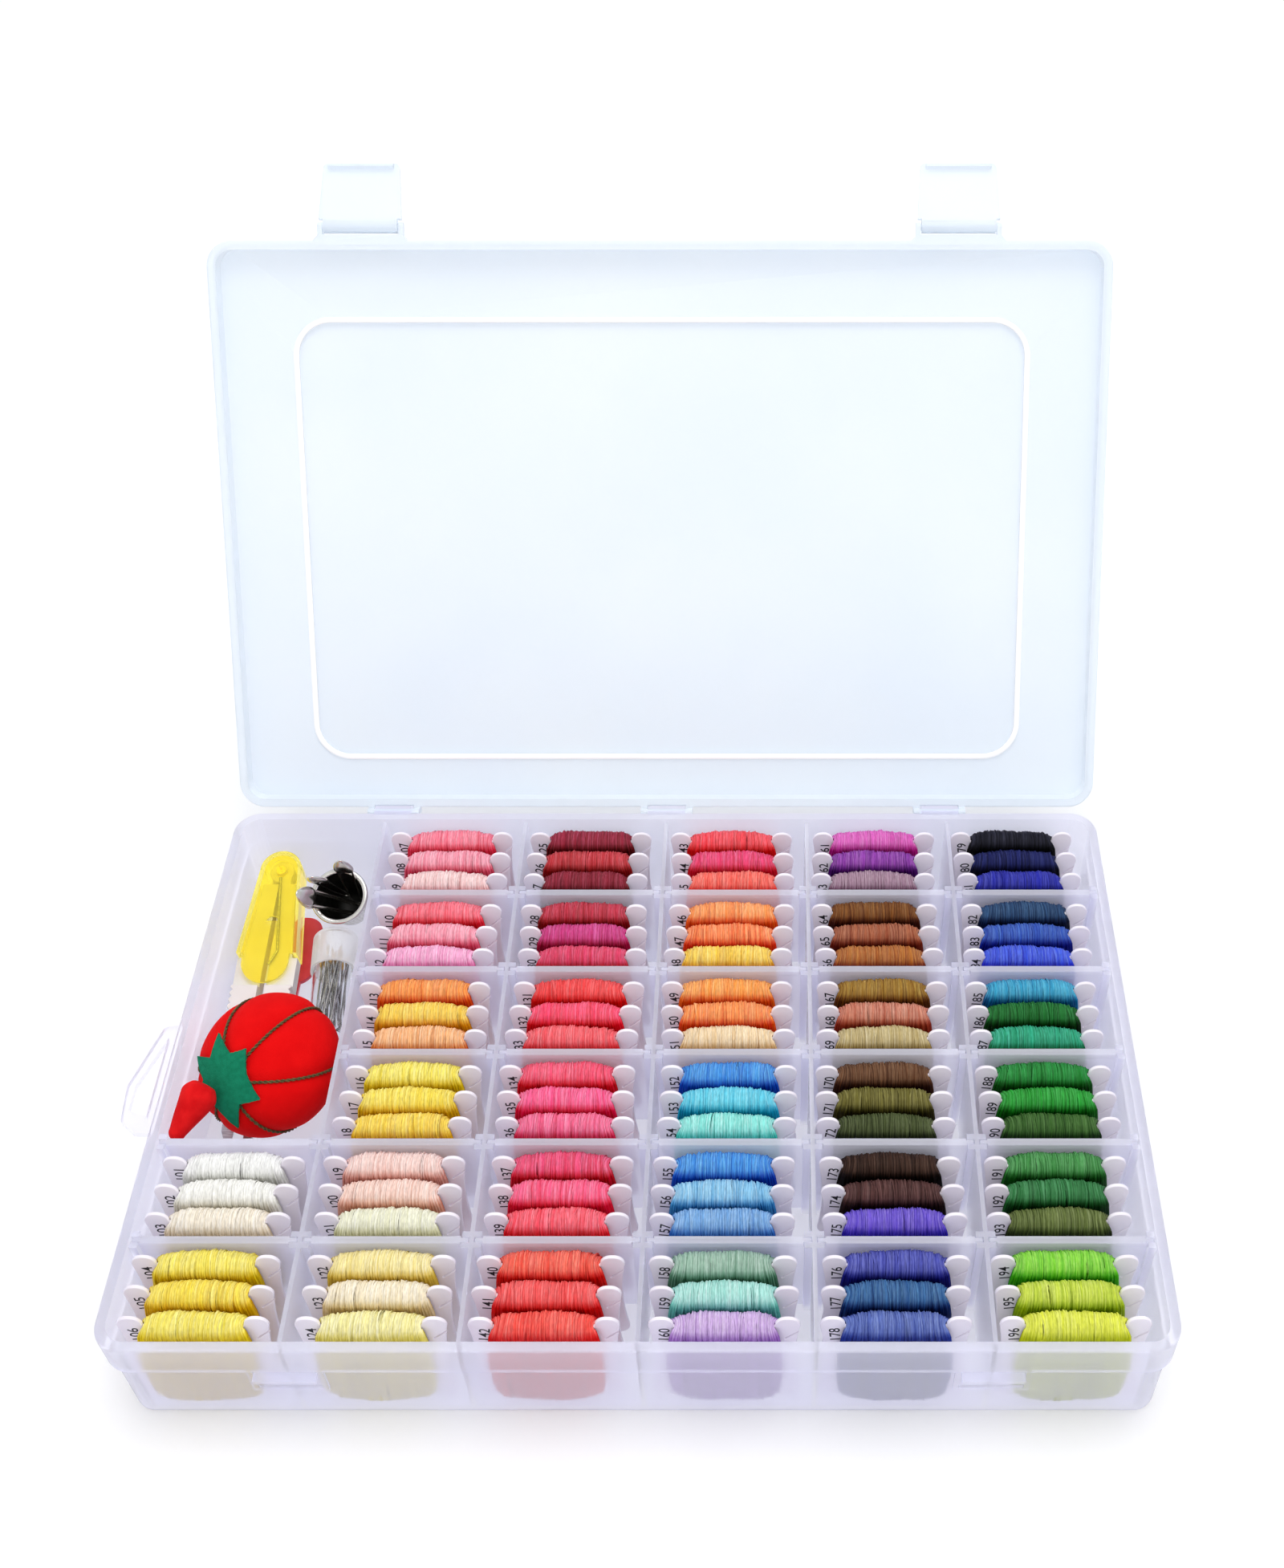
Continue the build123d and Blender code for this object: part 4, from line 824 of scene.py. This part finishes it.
def make_lid_line():
    """The raised line round the lid's panel, in the lid's open place; its white glow is a painted highlight
    on the ridge.
    """
    hinge_offset, hinge_drop, open_angle = 1.2, 1.0, 122.5
    hinge_y, hinge_z = box_depth / 2 + hinge_offset, base_height - hinge_drop
    seat_gap, lid_height, lid_panel = 0.2, 6.5, 1.4
    ceiling = base_height + seat_gap + lid_height - lid_panel
    side_margin, front_margin, back_margin, corner, inset = 24.0, 23.0, 15.0, 11.0, 0.65
    half_x = box_width / 2 - side_margin - inset
    low_y = -box_depth / 2 + front_margin + inset
    high_y = box_depth / 2 - back_margin - inset
    # the line's section: outward and down from the panel's inside
    section = ((0.9, 0.0), (0.82, -0.42), (0.5, -0.62), (-0.5, -0.62), (-0.82, -0.42), (-0.9, 0.0))
    centre = []
    for k, (x, y) in enumerate(((half_x, high_y), (-half_x, high_y), (-half_x, low_y), (half_x, low_y))):
        arc_x, arc_y = x - copysign(corner, x), y - copysign(corner, y)
        centre += arc(arc_x, arc_y, corner, 90 * k, 90 * k + 90, 14)
    points = []
    for i, (x, y) in enumerate(centre):
        ax, ay = centre[(i + 1) % len(centre)]
        bx, by = centre[i - 1]
        length = hypot(ax - bx, ay - by)
        nx, ny = (ay - by) / length, -(ax - bx) / length
        points += [(x + out * nx, y + out * ny, ceiling + depth) for out, depth in section]
    faces = grid_faces(len(centre), len(section), wrap_rows=True)
    opening = shift(0, hinge_y, hinge_z) @ turn("X", -open_angle) @ shift(0, -hinge_y, -hinge_z)
    line = new_object("lid_line", moved(points, opening), faces, lid_line_highlight)
    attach(line, "lid")


make_thimble()
make_pin_caps()
make_needles()
make_lid_line()

# ---------------------------------------- pincushion
cushion_low, cushion_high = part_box("pincushion")
cushion_centre = (Vector(cushion_low) + Vector(cushion_high)) / 2 / MM
cushion_half = (Vector(cushion_high) - Vector(cushion_low)) / 2 / MM
stem = Vector((-0.35, -0.7, 0.63)).normalized()
stem_side = Vector((0, 1, 0)).cross(stem).normalized()
stem_turn = Matrix((stem_side, stem.cross(stem_side), stem)).transposed()
SEGMENT_ANGLES = [38 + 60 * k for k in range(6)]
weld_distance = 0.00001
# the star's tips, by angle round the stem and reach; a waist lies halfway between two tips
CALYX_TIPS = [(45, 11), (100, 16), (140, 16), (185, 12), (260, 13), (315, 11)]
calyx_waist = 0.6


def stem_direction(angle, tilt):
    """A direction from the cushion's middle: degrees round the stem, and radians away from it."""
    x, y = cos(radians(angle)), sin(radians(angle))
    return stem_turn @ Vector((sin(tilt) * x, sin(tilt) * y, cos(tilt)))


def ball_point(direction, out):
    """The point of the cushion's surface in a direction from its middle, moved out by so much."""
    scale = 1 / sqrt(sum((direction[i] / (cushion_half[i] + out)) ** 2 for i in range(3)))
    return cushion_centre + direction * scale


def groove(angle, tilt):
    """How deep the cords pull the cloth in, by angle round the stem and from it."""
    depth, width_angle = 0.9, 7.0
    away = min(abs((angle - a + 180) % 360 - 180) for a in SEGMENT_ANGLES)
    return depth * exp(-((away * sin(tilt) / width_angle) ** 2))


def make_pincushion():
    """The stuffed ball, pulled in along its cords and at both ends of its stem."""
    stem_pull, foot_pull, pull_angle = 0.9, 1.2, 0.16
    rows, columns = 97, 192
    points = []
    for r in range(rows):
        tilt = pi * r / (rows - 1)
        pole = stem_pull * exp(-((tilt / pull_angle) ** 2))
        pole += foot_pull * exp(-(((pi - tilt) / pull_angle) ** 2))
        for c in range(columns):
            angle = 360 * c / columns
            points.append(ball_point(stem_direction(angle, tilt), -groove(angle, tilt) - pole))
    ball = new_object("tomato", points, grid_faces(rows, columns), tomato_cloth)
    weld(ball, weld_distance)
    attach(ball, "pincushion")
    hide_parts("pincushion")


def make_cords():
    """Two-ply cords from the stem round the cushion."""
    ply_radius, ply_reach, sink, ply_sides = 0.25, 0.24, 0.55, 6
    count, first_tilt, sweep, twist_step = 150, 10, 164, 0.75
    pile = Pile()
    for angle in SEGMENT_ANGLES:
        side = stem_direction(angle + 90, pi / 2)
        for ply in (0, pi):
            path = []
            for i in range(count):
                tilt = radians(first_tilt) + radians(sweep) * i / (count - 1)
                twist = i * twist_step + ply
                base = ball_point(stem_direction(angle, tilt), -sink + ply_reach * sin(twist))
                path.append(base + side * ply_reach * cos(twist))
            points, faces = tube(path, ply_radius, ply_sides)
            pile.add(points, faces)
    cords = pile.build("cushion_cords", olive_cord)
    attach(cords, "pincushion")
    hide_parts("pincushion_cords")


def make_calyx():
    """A felt star laid over the stem end, its edge a little frilled and its tips curling up."""
    thickness, gap, longest, bend_radius, tip_curl, frill_depth = 0.8, 0.05, 16, 20.5, 0.5, 0.25
    rings, columns = 14, 180
    rng = np.random.default_rng(5)
    frill = [rng.uniform(-0.5, 0.5) for _ in range(columns)]
    corners = []
    for k, (angle, reach) in enumerate(CALYX_TIPS):
        next_angle, next_reach = CALYX_TIPS[(k + 1) % len(CALYX_TIPS)]
        between = angle + (next_angle - angle) % 360 / 2
        for turned, far in ((angle, reach), (between, calyx_waist * (reach + next_reach) / 2)):
            corners.append(far * np.array([cos(radians(turned)), sin(radians(turned))]))
    outline = []
    for k, start in enumerate(corners):
        end = corners[(k + 1) % len(corners)]
        outline += [start + (end - start) * t for t in np.arange(0, 1, len(corners) / columns)]
    edge = [(float(np.hypot(x, y)) + frill_depth * frill[c], degrees(atan2(y, x)))
            for c, (x, y) in enumerate(outline)]
    points = []
    for layer in (0.0, thickness):
        for r in range(rings):
            share = r / (rings - 1)
            for reach, angle in edge:
                direction = stem_direction(angle, reach * share / bend_radius)
                curl = tip_curl * share ** 3 * reach / longest
                points.append(ball_point(direction, gap + layer + curl))
    faces = grid_faces(rings, columns)
    low = [tuple(reversed(f)) for f in faces]
    high = [tuple(i + rings * columns for i in f) for f in faces]
    rim = []
    for c in range(columns):
        a = (rings - 1) * columns + c
        b = (rings - 1) * columns + (c + 1) % columns
        rim.append((a, b, b + rings * columns, a + rings * columns))
    star = new_object("calyx", points, low + high + rim, felt)
    star.data.set_sharp_from_angle(angle=radians(50))
    weld(star, weld_distance)
    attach(star, "pincushion")
    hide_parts("pincushion_calyx")
    return star


def strawberry_radius(along):
    """The strawberry's radius at a distance from its flat end."""
    flat_radius, widest, shoulder, edge_round = 3.1, 5.2, 3.7, 0.5
    tip_radius, tip_start = 2.4, 14.6
    if along > tip_start:
        return sqrt(max(tip_radius ** 2 - (along - tip_start) ** 2, 0))
    if along >= shoulder:
        return widest - (widest - tip_radius) * ((along - shoulder) / (tip_start - shoulder)) ** 1.1
    radius = flat_radius + (widest - flat_radius) * sin(along / shoulder * pi / 2)
    if along < edge_round:
        radius *= sqrt(max(1 - ((edge_round - along) / edge_round) ** 2, 0)) * 0.999 + 0.001
    return radius


def make_strawberry():
    """The small strawberry, gathered at its flat end and a little uneven."""
    length, rows, columns = 17.0, 48, 72
    from_left, from_front, below_rim = 1.8, 3.3, 7.3
    pucker_length, pucker_depth, puckers, lump_depth = 6, 0.05, 9, 0.015
    # the way that its tip points: left, forward and down
    aim = Vector((-0.46, -0.77, -0.45)).normalized()
    bay_front = bay_back - bay_row_count * row_pitch + divider_thickness
    tip = Vector((bay_left + from_left, bay_front + from_front, base_height - below_rim))
    root = tip - aim * length
    frame_turn = aim.to_track_quat("Z", "Y").to_matrix()
    points = []
    for r in range(rows):
        s = length * (1 - cos(pi * r / (rows - 1))) / 2
        for c in range(columns):
            angle = 2 * pi * c / columns
            pucker = 1 - pucker_depth * max(0, 1 - s / pucker_length) * (1 + cos(puckers * angle)) / 2
            lump = 1 + lump_depth * sin(3 * angle + s * 0.5)
            radius = strawberry_radius(s) * pucker * lump
            points.append(root + frame_turn @ Vector((radius * cos(angle), radius * sin(angle), s)))
    berry = new_object("strawberry", points, grid_faces(rows, columns), strawberry_cloth)
    weld(berry, weld_distance)
    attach(berry, "pincushion")
    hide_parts("strawberry_emery")


make_pincushion()
make_cords()
star = make_calyx()
make_strawberry()


# ---------------------------------------- room and light
def brighten(tree, socket, strength):
    """Emission only where the floor is seen: directly, in metal or through plastic."""
    rays = tree.nodes.new("ShaderNodeLightPath")
    total = rays.outputs["Is Camera Ray"]
    for kind in ("Is Glossy Ray", "Is Transmission Ray"):
        add = tree.nodes.new("ShaderNodeMath")
        add.operation = "ADD"
        add.use_clamp = True
        tree.links.new(total, add.inputs[0])
        tree.links.new(rays.outputs[kind], add.inputs[1])
        total = add.outputs["Value"]
    scale = tree.nodes.new("ShaderNodeMath")
    scale.operation = "MULTIPLY"
    scale.inputs[1].default_value = strength
    tree.links.new(total, scale.inputs[0])
    tree.links.new(scale.outputs["Value"], socket)


def make_room():
    """A plain pale floor under an even white sky."""
    size, floor_glow, sky_strength = 3500, 0.07, 0.8
    white = two_tone("floor_white", (250, 250, 251), (253, 253, 254), 2, Roughness=0.9)
    floor = new_object("floor", [(-size, -size, 0), (size, -size, 0), (size, size, 0), (-size, size, 0)],
                       [(0, 1, 2, 3)], white, smooth=False)
    tree = white.node_tree
    shader = tree.nodes["Principled BSDF"]
    brighten(tree, shader.inputs["Emission Strength"], floor_glow)
    shader.inputs["Emission Color"].default_value = (1, 1, 1, 1)
    world = bpy.data.worlds.new("room")
    bpy.context.scene.world = world
    world.use_nodes = True
    sky = world.node_tree.nodes["Background"]
    sky.inputs["Color"].default_value = (1, 1, 1, 1)
    sky.inputs["Strength"].default_value = sky_strength


def make_lamp():
    """One wide, soft lamp over the box, aimed at the middle of its foot."""
    place = Vector((0.1, 0.12, 1.4))
    light = bpy.data.lights.new("key", "AREA")
    light.shape = "SQUARE"
    light.size = 0.8
    light.energy = 7.0
    lamp = linked("key", light)
    lamp.location = place
    lamp.rotation_euler = (-place).to_track_quat("-Z", "Y").to_euler()


def make_camera():
    """Above and in front of the box, looking down at it; its frame is the photograph's."""
    photo_width, photo_height = 1600, 1954
    # in the photograph's pixels: the lens, and the spot that it looks straight at
    focal_length, centre_x, centre_y = 2198, 960, 840
    downward = 44.56
    camera = bpy.data.cameras.new("camera")
    thing = linked("camera", camera)
    camera.sensor_fit = "HORIZONTAL"
    camera.sensor_width = 36
    camera.lens = focal_length / photo_width * camera.sensor_width
    camera.shift_x = -(centre_x - photo_width / 2) / photo_width
    camera.shift_y = (centre_y - photo_height / 2) / photo_width
    thing.location = (0.0335, -0.2840, 0.4684)
    thing.rotation_euler = (radians(90 - downward), 0, 0)
    bpy.context.scene.camera = thing


make_room()
make_lamp()
make_camera()
bpy.context.scene.view_settings.view_transform = "Standard"
